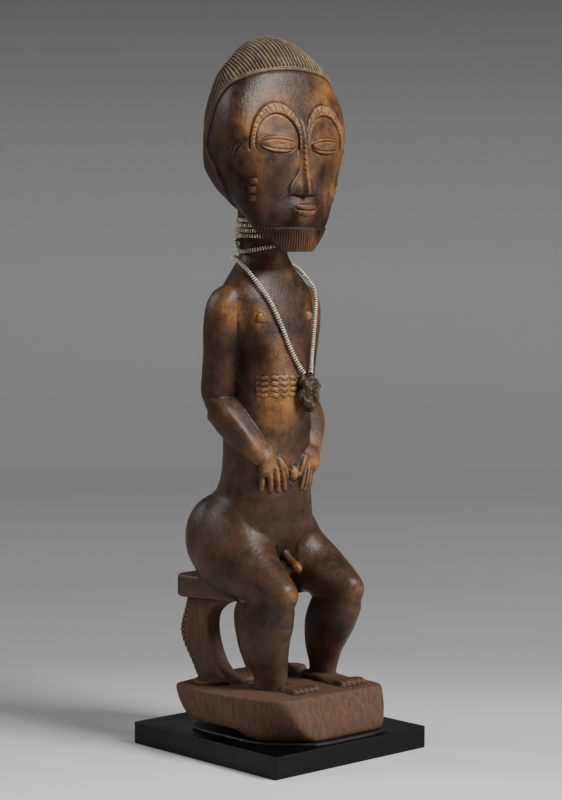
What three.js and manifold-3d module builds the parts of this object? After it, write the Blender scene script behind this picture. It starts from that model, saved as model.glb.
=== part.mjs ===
// A seated male figure carved with its stool and base from one block of wood, in the Baule
// manner, with a coil of beads at the neck, a long bead necklace with a pendant, and the
// fitted black mount it stands on. Millimetres, +Z up, the figure faces -Y.
import * as THREE from 'three';
import { mergeVertices } from 'three/addons/utils/BufferGeometryUtils.js';
import Module from 'manifold-3d';

const wasm = await Module();
wasm.setup();
const { Manifold, Mesh: ManifoldMesh } = wasm;

// Driving sizes
const PLINTH = { width: 165, depth: 172.5, height: 18, chamfer: 0.8 };
const BED_HEIGHT = 2.2;             // the fitted pad between plinth and wood
const SEAM = 0.3;                   // clear gap between pieces that touch
const FIGURE_AT = new THREE.Vector3(-4.8, -7.4, PLINTH.height + BED_HEIGHT + SEAM);
const BASE_TOP = 33;                // top of the carved base over its underside
const SEAT = { top: 119, bottom: 99.5, halfWidth: 45.5, front: 4, back: 80.5 };
const LEG_OF_STOOL = { inner: 22, outer: 38, band: 6.5, notches: 13 };
const HAIR = { thickness: 2.4, ridges: 22, ridge: 0.5, comb: 45 };
const NECK = { radius: 19.6, y: 21 };
const BEAD = { radius: 1.75, pitch: 4, waist: 0.74 };
const COIL = { top: 408.5, rise: 4.15, from: 137 };

const rad = THREE.MathUtils.degToRad;
const vec = (x, y, z) => new THREE.Vector3(x, y, z);

// Solids from three.js geometry, and back again
function solid(geometry, matrix) {
  const bare = geometry.clone();
  bare.deleteAttribute('normal');
  bare.deleteAttribute('uv');
  if (matrix) bare.applyMatrix4(matrix);
  const welded = mergeVertices(bare, 1e-4);
  const corners = Uint32Array.from(welded.index.array);
  const build = () => new Manifold(new ManifoldMesh({
    numProp: 3,
    vertProperties: Float32Array.from(welded.attributes.position.array),
    triVerts: corners,
  }));
  const made = build();
  if (made.volume() >= 0) return made;
  // wound the wrong way round: turn each triangle over
  for (let k = 0; k < corners.length; k += 3) corners.subarray(k, k + 3).reverse();
  return build();
}

function toGeometry(manifold) {
  const mesh = manifold.getMesh();
  const geometry = new THREE.BufferGeometry();
  geometry.setAttribute('position', new THREE.BufferAttribute(mesh.vertProperties, 3));
  geometry.setIndex(new THREE.BufferAttribute(mesh.triVerts, 1));
  geometry.computeVertexNormals();
  return geometry;
}

// A closed skin through rings. point(ring, angle) is on the skin, centre(ring) closes an end.
function skin(rings, around, point, centre) {
  const geometry = new THREE.CylinderGeometry(1, 1, 1, around, rings - 1);
  const position = geometry.attributes.position;
  for (let k = 0; k < position.count; k += 1) {
    const ring = Math.round((position.getY(k) + 0.5) * (rings - 1));
    const middle = Math.hypot(position.getX(k), position.getZ(k)) < 0.5;
    const angle = Math.atan2(-position.getZ(k), position.getX(k));
    const at = middle ? centre(ring) : point(ring, angle);
    position.setXYZ(k, at.x, at.y, at.z);
  }
  return solid(geometry);
}

// The row of a short table at a key between its rows, on a smooth curve
function row(table, key) {
  const last = table.length - 1;
  const k = THREE.MathUtils.clamp(table.findIndex((r) => r[0] > key) - 1, 0, last - 1);
  const at = key >= table[last][0] ? last - 1 : k;
  const [a, b] = [table[at], table[at + 1]];
  const t = THREE.MathUtils.clamp((key - a[0]) / (b[0] - a[0]), 0, 1);
  const slope = (j, c) => {
    const lo = table[Math.max(j - 1, 0)];
    const hi = table[Math.min(j + 1, last)];
    return (hi[c] - lo[c]) / (hi[0] - lo[0]);
  };
  const span = b[0] - a[0];
  return a.map((v, c) => {
    if (c === 0) return key;
    const m0 = slope(at, c) * span;
    const m1 = slope(at + 1, c) * span;
    return (2 * t ** 3 - 3 * t ** 2 + 1) * v + (t ** 3 - 2 * t ** 2 + t) * m0
      + (3 * t ** 2 - 2 * t ** 3) * b[c] + (t ** 3 - t ** 2) * m1;
  });
}

const power = (value, n) => Math.sign(value) * Math.abs(value) ** (2 / n);
const spread = (from, to, count) => Array.from({ length: count }, (_, i) => (
  from + ((to - from) * i) / (count - 1)));

// Eight points round a box with its corners cut, kx and ky of the way out along each side
function corner(a, kx, ky) {
  const k = Math.round(((a / Math.PI) * 4) + 8) % 8;
  return [[1, ky], [kx, 1], [-kx, 1], [-1, ky], [-1, -ky], [-kx, -1], [kx, -1], [1, -ky]][k];
}

// A limb through stations [x, y, z, half width, half depth], its ends drawn in to rounds
function limb(stations, rings, around, exponent = 2) {
  const path = new THREE.CatmullRomCurve3(stations.map(([x, y, z]) => vec(x, y, z)));
  const girth = new THREE.CatmullRomCurve3(stations.map(([, , , w, d]) => vec(w, d, 0)));
  const at = Array.from({ length: rings }, (_, i) => {
    const t = i / (rings - 1);
    const ahead = path.getTangent(Math.min(Math.max(t, 0.002), 0.998));
    const side = vec(1, 0, 0).addScaledVector(ahead, -ahead.x).normalize();
    return { c: path.getPoint(t), g: girth.getPoint(t), side, up: ahead.clone().cross(side) };
  });
  return skin(rings, around, (i, a) => at[i].c.clone()
    .addScaledVector(at[i].side, at[i].g.x * power(Math.cos(a), exponent))
    .addScaledVector(at[i].up, at[i].g.y * power(Math.sin(a), exponent)), (i) => at[i].c.clone());
}

function ellipsoid(x, y, z, rx, ry, rz, around = 10, tilt = [0, 0, 0]) {
  const matrix = new THREE.Matrix4().compose(
    vec(x, y, z),
    new THREE.Quaternion().setFromEuler(new THREE.Euler(...tilt.map(rad))),
    vec(rx, ry, rz),
  );
  return solid(new THREE.SphereGeometry(1, around, Math.max(4, Math.round(around * 0.6))), matrix);
}

const mirrored = (part) => part.mirror([1, 0, 0]);

// Carved base: a rounded block whose walls draw in towards an uneven underside
const baseTop = (x, y) => BASE_TOP + 0.9 - 0.008 * x - 0.012 * y;

function carvedBase() {
  // level, left, right, front, back, how far the front left corner is drawn in and from where
  const walls = [
    [0, 57, 51, 70.5, 42, 0.46, 34], [4, 62, 53, 71.5, 48, 0.38, 32],
    [10, 66.5, 54.5, 71, 53, 0.32, 26], [22, 71, 56.5, 68.5, 59, 0.24, 10],
    [31, 72.5, 57, 65.5, 61.5, 0.19, 0], [BASE_TOP, 72, 56.5, 64.5, 61, 0.19, 0],
  ];
  return skin(walls.length, 26, (i, a) => {
    const [level, left, right, front, back, drawn, from] = walls[i];
    const n = Math.sin(a) < 0 ? 12 : 6;
    const across = Math.cos(a) / (Math.cos(a) < 0 ? left : right);
    const along = Math.sin(a) / (Math.sin(a) < 0 ? front : back);
    const reach = (Math.abs(across) ** n + Math.abs(along) ** n) ** (-1 / n);
    const y = reach * Math.sin(a);
    let x = reach * Math.cos(a);
    if (x < 0) x *= 1 - drawn * THREE.MathUtils.smoothstep(-y, from, 68);
    // the rear of the underside stands clear of the mount
    const clear = [5, 3, 0][i] ? [5, 3][i] * THREE.MathUtils.smoothstep(y, -28, -10) : 0;
    return vec(x, y, level + clear + (i >= 4 ? baseTop(x, y) - BASE_TOP : 0));
  }, (i) => vec(0, 0, i ? baseTop(0, 0) : 5));
}

// Stool: a thick seat on two bowed planks over a low oval plate
const nearBack = [[28, 57], [34, 61], [47, 70], [60, 79.5], [71, 83.5], [81, 81], [92, 76.5],
  [101, 74]];
const farBack = [[28, 66], [34, 71], [47, 78.5], [60, 83], [71, 85.2], [81, 84.4], [92, 79], [101, 74]];
const stoolFront = [[28, 6], [34, 16], [41, 29.5], [50, 39], [66, 46.5], [78, 48.5], [88, 46],
  [95, 38], [101, 24]];

function stoolPlank(stoolBack) {
  const rings = 10;
  const levels = spread(29, 101, rings);
  const { inner, outer } = LEG_OF_STOOL;
  const plank = skin(rings, 8, (i, a) => {
    const z = levels[i];
    const back = row(stoolBack, z)[1];
    const front = row(stoolFront, z)[1];
    const [dx, dy] = corner(a, 0.8, 0.9);
    const y = (front + back) / 2 + ((back - front) / 2) * dy;
    return vec((inner + outer) / 2 + ((outer - inner) / 2) * dx, y, z);
  }, (i) => {
    const y = (row(stoolBack, levels[i])[1] + row(stoolFront, levels[i])[1]) / 2;
    return vec((inner + outer) / 2, y, levels[i]);
  });
  // notches down the outer back edge
  const cuts = spread(39, 93, LEG_OF_STOOL.notches).map((z) => {
    const y = row(stoolBack, z)[1];
    const wedge = new THREE.CylinderGeometry(1.7, 1.7, 9, 3);
    const place = new THREE.Matrix4().makeRotationX(rad(90)).setPosition(outer, y - 1, z);
    return solid(wedge, place);
  });
  return Manifold.difference([plank, ...cuts]);
}

function stool() {
  const seatRings = [[SEAT.bottom, 2], [SEAT.bottom + 2, 0], [SEAT.top - 2.5, 0], [SEAT.top, 2.5]];
  const middle = (SEAT.front + SEAT.back) / 2;
  const reach = (SEAT.back - SEAT.front) / 2;
  const seat = skin(seatRings.length, 8, (i, a) => {
    const [z, inset] = seatRings[i];
    const [dx, dy] = corner(a, 0.92, 0.92);
    const thinner = i < 2 && dy < 0 ? 4 : 0;      // the underside rises towards the front
    return vec((SEAT.halfWidth - inset) * dx, middle + (reach - inset) * dy, z + thinner);
  }, (i) => vec(0, middle, seatRings[i][0]));
  const plate = skin(3, 24, (i, a) => {
    const inset = [0, 0.4, 2.2][i];
    const x = (58 - inset) * power(Math.cos(a), 2.4);
    const y = 37 + (20 - inset) * power(Math.sin(a), 2.4);
    return vec(x, y, [29, baseTop(x, y) + 2.2, baseTop(x, y) + 3.4][i]);
  }, (i) => vec(0, 37, [29, 33, 36][i]));
  return [seat, plate, mirrored(stoolPlank(nearBack)), stoolPlank(farBack)];
}

// Legs: deep calves on narrow ankles, knees bent and far forward.
// A shin goes through [level, x, y, mean radius]
function lowerLeg(shin) {
  return limb(shin.map(([z, x, y, r]) => [x, y, z, 0.83 * r, 1.18 * r]), 8, 10);
}

function thigh(x, kneeY, kneeZ, side, girth) {
  const buttock = ellipsoid(side * 25, 50, 150, 27, 25.5, 35.5, 12);
  const limbOfThigh = limb([
    [side * 24, 60, 154, 10, 16], [side * 25, 50, 152, 22.5, 34.5], [side * 28, 33, 146, 27, 41 * girth],
    [side * 30.5, 13, 133.5, 26, 33 * girth], [x, -5, 124.5, 23, 24.5 * girth],
    [x, kneeY + 27, kneeZ + 6, 18.5, 19 * girth], [x, kneeY + 13, kneeZ + 1, 14.2, 14.5],
    [x, kneeY + 4, kneeZ - 2, 10.8, 10.8], [x, kneeY, kneeZ - 3, 5.5, 5.5],
  ], 9, 10);
  return [buttock, limbOfThigh];
}

// A flat foot whose front edge is notched into five toes
function foot(x, heelY, toeY) {
  const heights = [30, BASE_TOP + 2.8, BASE_TOP + 4.6, BASE_TOP + 5.4];
  return skin(4, 22, (i, a) => {
    const inset = [0, 0.2, 1.2, 5][i];
    const forward = (1 - Math.sin(a)) / 2;
    const half = 9 + 4.4 * forward - inset;
    const across = half * power(Math.cos(a), 2.8);
    const toe = forward > 0.7 ? 1.7 * Math.abs(Math.sin((across / half) * 2.5 * Math.PI)) - 1.2 : 0;
    const y = THREE.MathUtils.lerp(heelY - inset, toeY + inset - toe, forward ** 0.8);
    return vec(x + across, y, heights[i]);
  }, (i) => vec(x, (heelY + toeY) / 2, heights[i]));
}

// Trunk and neck in rings [level, middle y, half width, front, back]
const trunk = [
  [114, 30, 34, 20, 40], [124, 28, 40, 25, 48], [140, 24, 44, 29.5, 57], [149, 22, 44, 32, 58],
  [157, 20.5, 43, 33.5, 60], [168, 19.5, 41, 34.5, 58], [178, 19, 39.3, 34.5, 52],
  [188, 18.5, 37.8, 34.3, 43], [197, 18, 37, 34, 37], [206, 17.5, 36.8, 33.8, 33.8],
  [235, 17.5, 35.5, 33, 33], [262, 16.8, 35, 33, 33], [280, 16, 35.5, 33, 33.5],
  [300, 16, 37, 30.6, 31], [322, 16.5, 38.5, 27.8, 28], [338, 17.5, 42.5, 25.5, 26],
  [346, 18, 45, 24, 25], [353, 18.5, 42.5, 22.5, 23.5], [360, 19.5, 36.5, 22, 22.5],
  [368, 20.5, 28.5, 21.5, 21.5], [375.5, 21, 22.4, 20.4, 20.4],
  [381, NECK.y, NECK.radius, NECK.radius, NECK.radius],
  [425, NECK.y, NECK.radius, NECK.radius, NECK.radius],
];

function onTrunk(level, a) {
  const [z, middle, w, front, back] = row(trunk, level);
  const n = level > 378 ? 2 : 2.15;
  return vec(w * power(Math.cos(a), n), middle + (Math.sin(a) < 0 ? front : back) * power(Math.sin(a), n), z);
}

function torso() {
  const levels = [114, 130, 144, 156, 170, 186, 203, 238, 275, 305, 330, 345, 354, 362, 370, 376, 381, 425];
  return skin(levels.length, 14, (i, a) => onTrunk(levels[i], a), (i) => {
    const middle = row(trunk, levels[i])[1];
    return vec(0, middle, levels[i]);
  });
}

// An arm and its hand; the wrist and hand may lie a little nearer the middle
function arm(inward) {
  const upper = limb([
    [30, 18, 350, 5, 5], [38, 18.5, 347, 11, 11], [43.5, 20, 339, 13.2, 13.6], [45, 22, 322, 13.4, 14],
    [43.6, 24, 302, 13, 14], [43.8, 26, 284, 12.6, 13.6], [44, 27.5, 268, 12, 12.8], [43.6, 28, 257, 6, 7],
  ], 7, 8);
  const fore = limb([
    [43.6, 35, 256, 5, 5], [43.8, 27, 260, 11.8, 11.6], [42.4, 19, 254, 12.4, 12.4], [39, 9.5, 243, 12, 12],
    [34 - inward, 0.5, 232.5, 10, 9.8], [28.6 - inward, -6, 224, 7.8, 7.2],
    [25.6 - inward, -9.5, 219, 6.4, 5.4],
  ], 7, 9);
  return [upper, fore];
}

function hand(inward) {
  const palm = limb([
    [27, -6.5, 224.5, 6.4, 5.2], [23.6, -10, 217, 8, 4.6], [20.4, -12.6, 210, 9, 4], [19, -13.2, 206, 8.6, 3],
  ], 4, 6, 2.6);
  const fingers = spread(-1.5, 1.5, 4).map((k) => limb([
    [20.2 + k * 4.3, -14.2 + (k + 1.5) * 1.3, 212, 2.1, 2.3],
    [17.4 + k * 4.6, -15 + (k + 1.5) * 1.2, 201, 2.2, 2.9],
    [14.6 + k * 4.8, -15.6 + (k + 1.5) * 1.1, 189.5 + Math.abs(k) * 1.2, 1.4, 1.6],
  ], 3, 4));
  const thumb = limb([
    [16.6, -14.6, 217.5, 1.9, 2], [11.6, -16, 210, 2.1, 2.7], [8.6, -16.4, 202, 1.3, 1.6],
  ], 3, 4);
  return [palm, thumb, ...fingers].map((part) => part.translate([-inward, 0, 0]));
}

// Head in levels taken at the face: [level, lean, middle y, half width, front, back]
const headRings = [
  [382.5, 0.62, -8, 21, 18, 16], [390, 0.48, -8.5, 29, 18.5, 28], [400, 0.34, -9, 36, 18.5, 34],
  [412, 0.2, -9, 42, 18.5, 43.5], [425, 0.1, -9, 47, 18, 61.5], [438, 0.05, -9, 51.5, 18, 72],
  [452, 0, -9, 56, 18, 77.5], [467, 0, -9, 60, 18, 74.5], [481, 0, -8, 61.5, 18.5, 70.5],
  [495, 0, -6, 61, 18, 64], [504, 0, -4, 58.5, 18.5, 59], [513, 0, -1.5, 54, 19.5, 54.5],
  [523, 0, 2, 48, 20.5, 48.5], [537, 0, 8.5, 35, 19, 30.5], [545, 0, 13, 24.5, 16.5, 20.5],
  [551, 0, 17, 12.5, 11, 11], [553.5, 0, 18, 3, 3, 3],
];

const jawRise = (lean, y) => lean * Math.max(0, y + 21);

function headOutline(level, a) {
  const [, lean, middle, w, front, back] = row(headRings, level);
  const n = Math.sin(a) < 0 ? 1.95 : 2.1;
  const y = middle + (Math.sin(a) < 0 ? front : back) * power(Math.sin(a), n);
  return vec(w * power(Math.cos(a), n), y, level + jawRise(lean, y));
}

function insideHead(p) {
  let level = p.z;
  for (let k = 0; k < 12; k += 1) level = p.z - jawRise(row(headRings, level)[1], p.y);
  if (level < 382.5 || level > 553.5) return false;
  const [, , middle, w, front, back] = row(headRings, level);
  const n = p.y < middle ? 1.95 : 2.1;
  return Math.abs(p.x / w) ** n + Math.abs((p.y - middle) / (p.y < middle ? front : back)) ** n < 1;
}

function head() {
  const levels = [382.5, 390, 401, 416, 432, 449, 466, 482, 497, 510, 523, 538, 553.5];
  return skin(levels.length, 20, (i, a) => headOutline(levels[i], a), (i) => {
    const [z, lean, middle] = row(headRings, levels[i]);
    return vec(0, middle, z + jawRise(lean, middle));
  });
}

// How far the head's surface is from a point inside it
function reachTo(from, direction) {
  let [near, far] = [0, 120];
  for (let k = 0; k < 24; k += 1) {
    const mid = (near + far) / 2;
    if (insideHead(from.clone().addScaledVector(direction, mid))) near = mid;
    else far = mid;
  }
  return near;
}

// Hair: a cap combed in ridges that sweep up and back from the hairline. Its rings stand
// square to the comb, so that each ridge lies in a plane through their common axis.
function hair() {
  const comb = rad(HAIR.comb);
  const back = vec(0, Math.cos(comb), Math.sin(comb));
  const up = vec(0, -Math.sin(comb), Math.cos(comb));
  const stations = [308, 330, 351, 369, 386, 398];
  const centre = (i) => back.clone().multiplyScalar(stations[i]).addScaledVector(up, 330);
  const cap = skin(stations.length, HAIR.ridges * 2, (i, a) => {
    const index = Math.round((a / Math.PI) * HAIR.ridges);
    const direction = vec(Math.cos(a), 0, 0).addScaledVector(up, Math.sin(a));
    const ridge = (index % 2 ? 1 : -1) * HAIR.ridge;
    return centre(i).addScaledVector(direction, reachTo(centre(i), direction) + HAIR.thickness + ridge);
  }, centre);
  const profile = new THREE.Shape([[-19, 527.5], [29, 468], [15, 436], [22, 405], [95, 405], [95, 600],
    [-60, 600], [-60, 577]].map(([y, z]) => new THREE.Vector2(y, z)));
  const slab = new THREE.ExtrudeGeometry(profile, { depth: 160, bevelEnabled: false, steps: 1 });
  const stand = new THREE.Matrix4().makeBasis(vec(0, 1, 0), vec(0, 0, 1), vec(1, 0, 0))
    .setPosition(-80, 0, 0);
  return cap.intersect(solid(slab, stand));
}

// A flat ribbon laid on the face along points [x, z], raised by lift
function onFace(points, halfWidth, lift, rings, closed = false) {
  const curve = new THREE.CatmullRomCurve3(points.map(([x, z]) => vec(x, 0, z)), closed);
  const face = (x, z) => {
    const start = vec(x, 10, z);
    return 10 - reachTo(start, vec(0, -1, 0));
  };
  return skin(rings, 4, (i, a) => {
    const t = i / (rings - 1);
    const c = curve.getPoint(t);
    const ahead = curve.getTangent(t);
    const across = vec(ahead.z, 0, -ahead.x);
    const wide = halfWidth * Math.sin(Math.PI * (0.12 + 0.76 * t)) ** 0.5;
    const side = Math.round(((a + 2 * Math.PI) % (2 * Math.PI)) / (Math.PI / 2)) % 4;
    const corner = [[1, -0.4], [0.7, 1], [-0.7, 1], [-1, -0.4]][side];
    const at = c.addScaledVector(across, wide * corner[0]);
    return vec(at.x, face(at.x, at.z) - lift * corner[1], at.z);
  }, (i) => {
    const c = curve.getPoint(i / (rings - 1));
    return vec(c.x, face(c.x, c.z) - lift * 0.3, c.z);
  });
}

function lens(x, z, halfWidth, halfHeight, lift) {
  const y = 10 - reachTo(vec(x, 10, z), vec(0, -1, 0));
  const turn = rad(x > 0 ? 9 : -9);
  return skin(3, 12, (i, a) => {
    const [out, size] = [[2, 1.05], [-lift * 0.8, 1], [-lift, 0.72]][i];
    const dx = halfWidth * size * Math.cos(a);
    const dz = halfHeight * size * Math.sin(a) * Math.abs(Math.sin(a)) ** 0.5;
    return vec(x + dx * Math.cos(turn), y + out + dx * Math.sin(turn), z - dz);
  }, (i) => vec(x, y + [2, -lift * 0.8, -lift * 1.6][i], z));
}

function face() {
  const browLine = [[3.6, 470], [5, 484], [12.5, 495], [25, 499], [37.5, 495], [46, 484], [48.5, 470]];
  const brow = onFace(browLine, 4.2, 3.2, 10);
  const eye = lens(25.2, 466.8, 16.8, 6.6, 3.4);
  // nose: a long narrow ridge that flares to a flat base [level, ridge half width, foot half width, out]
  const noseRings = [[428, 3.4, 17, 35], [433, 3.2, 16.4, 34.8], [440, 2.8, 11.5, 34.4],
    [446, 2.6, 6.5, 33.6], [458, 2.5, 4.6, 32.4], [474, 2.4, 4.2, 31.4], [486, 2.4, 4, 29.4]];
  const nose = skin(noseRings.length, 8, (i, a) => {
    const [z, ridge, foot, out] = noseRings[i];
    const k = (Math.round((a / Math.PI) * 4) + 8) % 8;
    const [x, y] = [[foot, -22 - foot / 3], [foot, -16], [0, -16], [-foot, -16], [-foot, -22 - foot / 3],
      [-0.5 * (foot + ridge), 0.45 * -out - 14.6], [0, -out], [0.5 * (foot + ridge), 0.45 * -out - 14.6]][k];
    return vec(x, k === 5 || k === 7 ? Math.min(y, -out + 2.2 + 0.12 * foot) : y, z);
  }, (i) => vec(0, -23, noseRings[i][0]));
  const lips = [ellipsoid(1, -23.5, 416, 19, 6.6, 14, 10), ellipsoid(1, -29.6, 417.6, 12, 4.6, 2.6, 8),
    ellipsoid(1, -29.2, 412.8, 10.5, 4.6, 2.6, 8)];
  const cheekDots = [437, 430.5, 424].flatMap((z) => [-1, 1].map((s) => ellipsoid(
    s * (44.4 - (437 - z) * 0.14), -16.8, z, 2.6, 2.6, 3, 4)));
  return [brow, mirrored(brow), eye, mirrored(eye), nose, ...lips, ...cheekDots];
}

// Beard: upright ribs round the chin, flat underneath
function beard() {
  const ribs = 14;
  const levels = [382, 391, 402];
  return skin(levels.length, ribs * 2, (i, a) => {
    const [, lean, middle, w] = row(headRings, Math.max(levels[i], 382.5));
    const rib = Math.abs(Math.round((a / Math.PI) * ribs) % 2) ? 1.5 : 0.5;
    const p = headOutline(Math.max(levels[i], 382.5), a);
    if (Math.sin(a) > -0.05) return vec(0.8 * p.x, middle + 2, levels[i] + 4 + jawRise(lean, middle + 2));
    const out = 1 + rib / w;
    return vec(p.x * out, middle + (p.y - middle) * out, p.z + levels[i] - Math.max(levels[i], 382.5));
  }, (i) => vec(0, -12, levels[i] + (i ? 0 : 3)));
}

function figure() {
  const nearLeg = [lowerLeg([[32, -26, -15.7, 13.4], [40, -26, -15.9, 13.2], [46, -26.5, -16.6, 13.8],
    [60, -29, -15.2, 17.6], [70, -30, -14.2, 19.7], [81, -30.5, -14.7, 21], [90, -30.5, -17.6, 21.2],
    [99, -30.5, -22, 19.8], [108, -31, -30, 16], [115, -31, -37, 6]]),
  ...thigh(-31, -47.5, 112, -1, 1)];
  const farLeg = [lowerLeg([[32, 36.5, -10.9, 11.4], [40, 36.5, -10.9, 10.8], [48, 36.5, -11.5, 12.2],
    [61, 36.5, -12.2, 15.6], [70, 36.5, -14, 17.7], [80, 36.5, -17.6, 19.4], [90, 36.5, -23.5, 19.6],
    [99, 36.5, -31, 18], [107, 36.7, -37, 15], [113.5, 37, -42, 6]]),
  ...thigh(37, -52.5, 110.5, 1, 0.94)];
  const nipples = [-1, 1].map((s) => ellipsoid(s * 26, -4.8, 331, 3.4, 2.6, 3.2, 6));
  const navel = ellipsoid(-1, -15.6, 205.5, 4.6, 4.2, 6, 8);
  const penis = limb([[0, 4, 146, 5, 5], [0, -2, 141, 4.6, 4.6], [0, -9, 135.5, 3.9, 3.9],
    [0, -18, 130.5, 4.2, 4], [0, -23, 127.5, 1.8, 1.8]], 5, 8);
  const testicles = ellipsoid(-1, -4.5, 128.5, 6, 6.5, 8.5, 8);
  const nearArm = [...arm(0), ...hand(0)].map(mirrored);
  const farArm = [...arm(2.4), ...hand(1.6)];
  // under the jaw the wood is cut back round the neck, where the coil of beads lies
  const room = NECK.radius + 2 * BEAD.radius + 1.5;
  const undercut = solid(new THREE.CylinderGeometry(room, room, 33, 20),
    new THREE.Matrix4().makeRotationX(rad(90)).setPosition(0, NECK.y, 396));
  const headAndHair = Manifold.union([head(), hair(), ...face(), beard()]).subtract(undercut);
  return Manifold.union([
    carvedBase(), ...stool(), ...nearLeg, ...farLeg,
    foot(-18, 2, -52.5), foot(33.5, 4, -53),
    torso(), ...nearArm, ...farArm, ...nipples, navel, penis, testicles,
    headAndHair,
  ]).simplify(0.1);
}

// Beads threaded on a path: a tube that narrows between one bead and the next
function beads(path, pitch, sides) {
  const length = path.getLength();
  const count = Math.round(length / pitch);
  path.arcLengthDivisions = 1200;
  const rings = 2 * count + 1;
  const frames = Array.from({ length: rings }, (_, i) => {
    const t = i / (rings - 1);
    const ahead = path.getTangentAt(t);
    const c = path.getPointAt(t);
    const away = vec(c.x, c.y - NECK.y, 0);
    const out = away.clone().addScaledVector(ahead, -ahead.dot(away)).normalize();
    return { c, out, up: ahead.clone().cross(out) };
  });
  return skin(rings, sides, (i, a) => {
    const r = BEAD.radius * (i % 2 ? 1 : BEAD.waist);
    return frames[i].c.clone().addScaledVector(frames[i].out, r * Math.cos(a))
      .addScaledVector(frames[i].up, r * Math.sin(a));
  }, (i) => frames[i].c.clone());
}

// One string wound round the neck: four close turns, a drop at the back, then a slack turn
function coilPath() {
  const r = NECK.radius + BEAD.radius + SEAM + 0.35;
  const start = COIL.from + 1440;
  const z = (degrees) => {
    if (degrees <= start) return COIL.top - (COIL.rise * (degrees - COIL.from)) / 360;
    return row([[start - 1, COIL.top - 4 * COIL.rise], [start + 18, 386], [start + 34, 383],
      [start + 60, 383.4], [start + 133, 388], [start + 223, 387.4], [start + 346, 386]], degrees)[1];
  };
  const turns = [...spread(COIL.from, start, 61), ...spread(start + 8, start + 344, 29)];
  return new THREE.CatmullRomCurve3(turns.map((degrees) => vec(
    r * Math.cos(rad(degrees)), NECK.y + r * Math.sin(rad(degrees)), z(degrees))));
}

// The long string lies on the chest and shoulders and hangs to the pendant.
// Its course round the body, point by point from one end at the pendant to the other.
function necklacePath() {
  return new THREE.CatmullRomCurve3([
    [7, -20.4, 285.2], [2, -18, 293.3], [-4.6, -15.7, 306.8], [-9, -13.2, 319.6], [-13.6, -10.8, 331.6],
    [-17.2, -8, 341.2], [-21.6, -5, 350], [-26, -1.4, 357.6], [-28.2, 5, 365], [-27.8, 14, 371.6],
    [-25.6, 24.2, 376.2], [-22, 33.4, 378.4], [-13, 41.6, 378.2], [0, 45.2, 377.4], [13, 41.8, 376.6],
    [22.4, 33.6, 375.8], [27, 24.2, 373.6], [29.2, 12.8, 369.6], [29.6, 4, 363.5], [34, -1, 355],
    [38.5, 0.5, 346], [40, 2, 336], [34, -2.8, 322.5], [27.6, -8.2, 309], [21, -13.6, 296],
    [14, -20.4, 285.2],
  ].map((p) => vec(...p)));
}

// Pendant: a rough cast lump, broad and lobed above, narrow below
function pendant() {
  // level, middle x, half width, half depth
  const rings = [[254.5, 12, 2.5, 2.5], [258, 11.5, 6, 4.6], [264, 10.5, 8.4, 5.8], [270, 10.5, 9.8, 6],
    [276, 11, 9.4, 5.6], [281, 10.5, 7.4, 4.2], [283.4, 10.4, 5, 2.6]];
  const y = -21.2;
  return skin(rings.length, 12, (i, a) => {
    const [z, x, w, d] = rings[i];
    const lump = 1 + 0.12 * Math.sin(3 * a + 1.9 * i) + 0.06 * Math.sin(5 * a - 2.3 * i);
    return vec(x + w * lump * Math.cos(a), y + d * (Math.sin(a) > 0 ? 0.9 : lump) * Math.sin(a), z);
  }, (i) => vec(rings[i][1], y, rings[i][0]));
}

// Fitted pad: follows the foot of the wood a little outside it
function mountBed() {
  const rings = [[-BED_HEIGHT - SEAM + 0.3, 5.6], [-SEAM - 0.9, 5.6], [-SEAM, 4.6]];
  return skin(3, 32, (i, a) => {
    const [z, out] = rings[i];
    const n = Math.sin(a) < 0 ? 7 : 5;
    const across = Math.cos(a) / (Math.cos(a) < 0 ? 57 + out : 51 + out);
    const along = Math.sin(a) / (Math.sin(a) < 0 ? 70.5 + out : 50 + out);
    const reach = (Math.abs(across) ** n + Math.abs(along) ** n) ** (-1 / n);
    const y = reach * Math.sin(a);
    let x = reach * Math.cos(a);
    if (x < 0) x *= 1 - 0.4 * THREE.MathUtils.smoothstep(-y, 32, 72);
    return vec(x, y, z);
  }, (i) => vec(0, 0, rings[i][0]));
}

function plinth() {
  const { width, depth, height, chamfer } = PLINTH;
  const rings = [[0, chamfer], [chamfer, 0], [height - chamfer, 0], [height, chamfer]];
  return skin(4, 4, (i, a) => {
    const [sx, sy] = [[1, -1], [1, 1], [-1, 1], [-1, -1]][(Math.round((a / Math.PI) * 2) + 5) % 4];
    return vec(sx * (width / 2 - rings[i][1]), sy * (depth / 2 - rings[i][1]), rings[i][0]);
  }, (i) => vec(0, 0, rings[i][0]));
}

const group = new THREE.Group();
group.name = 'seated_figure_on_mount';

function add(name, manifold, colour, roughness, metalness, at) {
  const material = new THREE.MeshStandardMaterial({ color: colour, roughness, metalness });
  material.name = name;
  const mesh = new THREE.Mesh(toGeometry(manifold), material);
  mesh.name = name;
  mesh.position.copy(at);
  group.add(mesh);
  return mesh;
}

add('figure', figure(), 0x4a2c1c, 0.5, 0, FIGURE_AT);
add('choker_beads', beads(coilPath(), BEAD.pitch, 3), 0xcfc3a4, 0.55, 0, FIGURE_AT);
add('necklace_beads', beads(necklacePath(), BEAD.pitch, 3), 0xcfc3a4, 0.55, 0, FIGURE_AT);
add('pendant', pendant(), 0x4d4630, 0.6, 0.6, FIGURE_AT);
add('mount_bed', mountBed(), 0x101010, 0.6, 0, FIGURE_AT);
add('plinth', plinth(), 0x161616, 0.35, 0, vec(0, 0, 0));

export default group;
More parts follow.
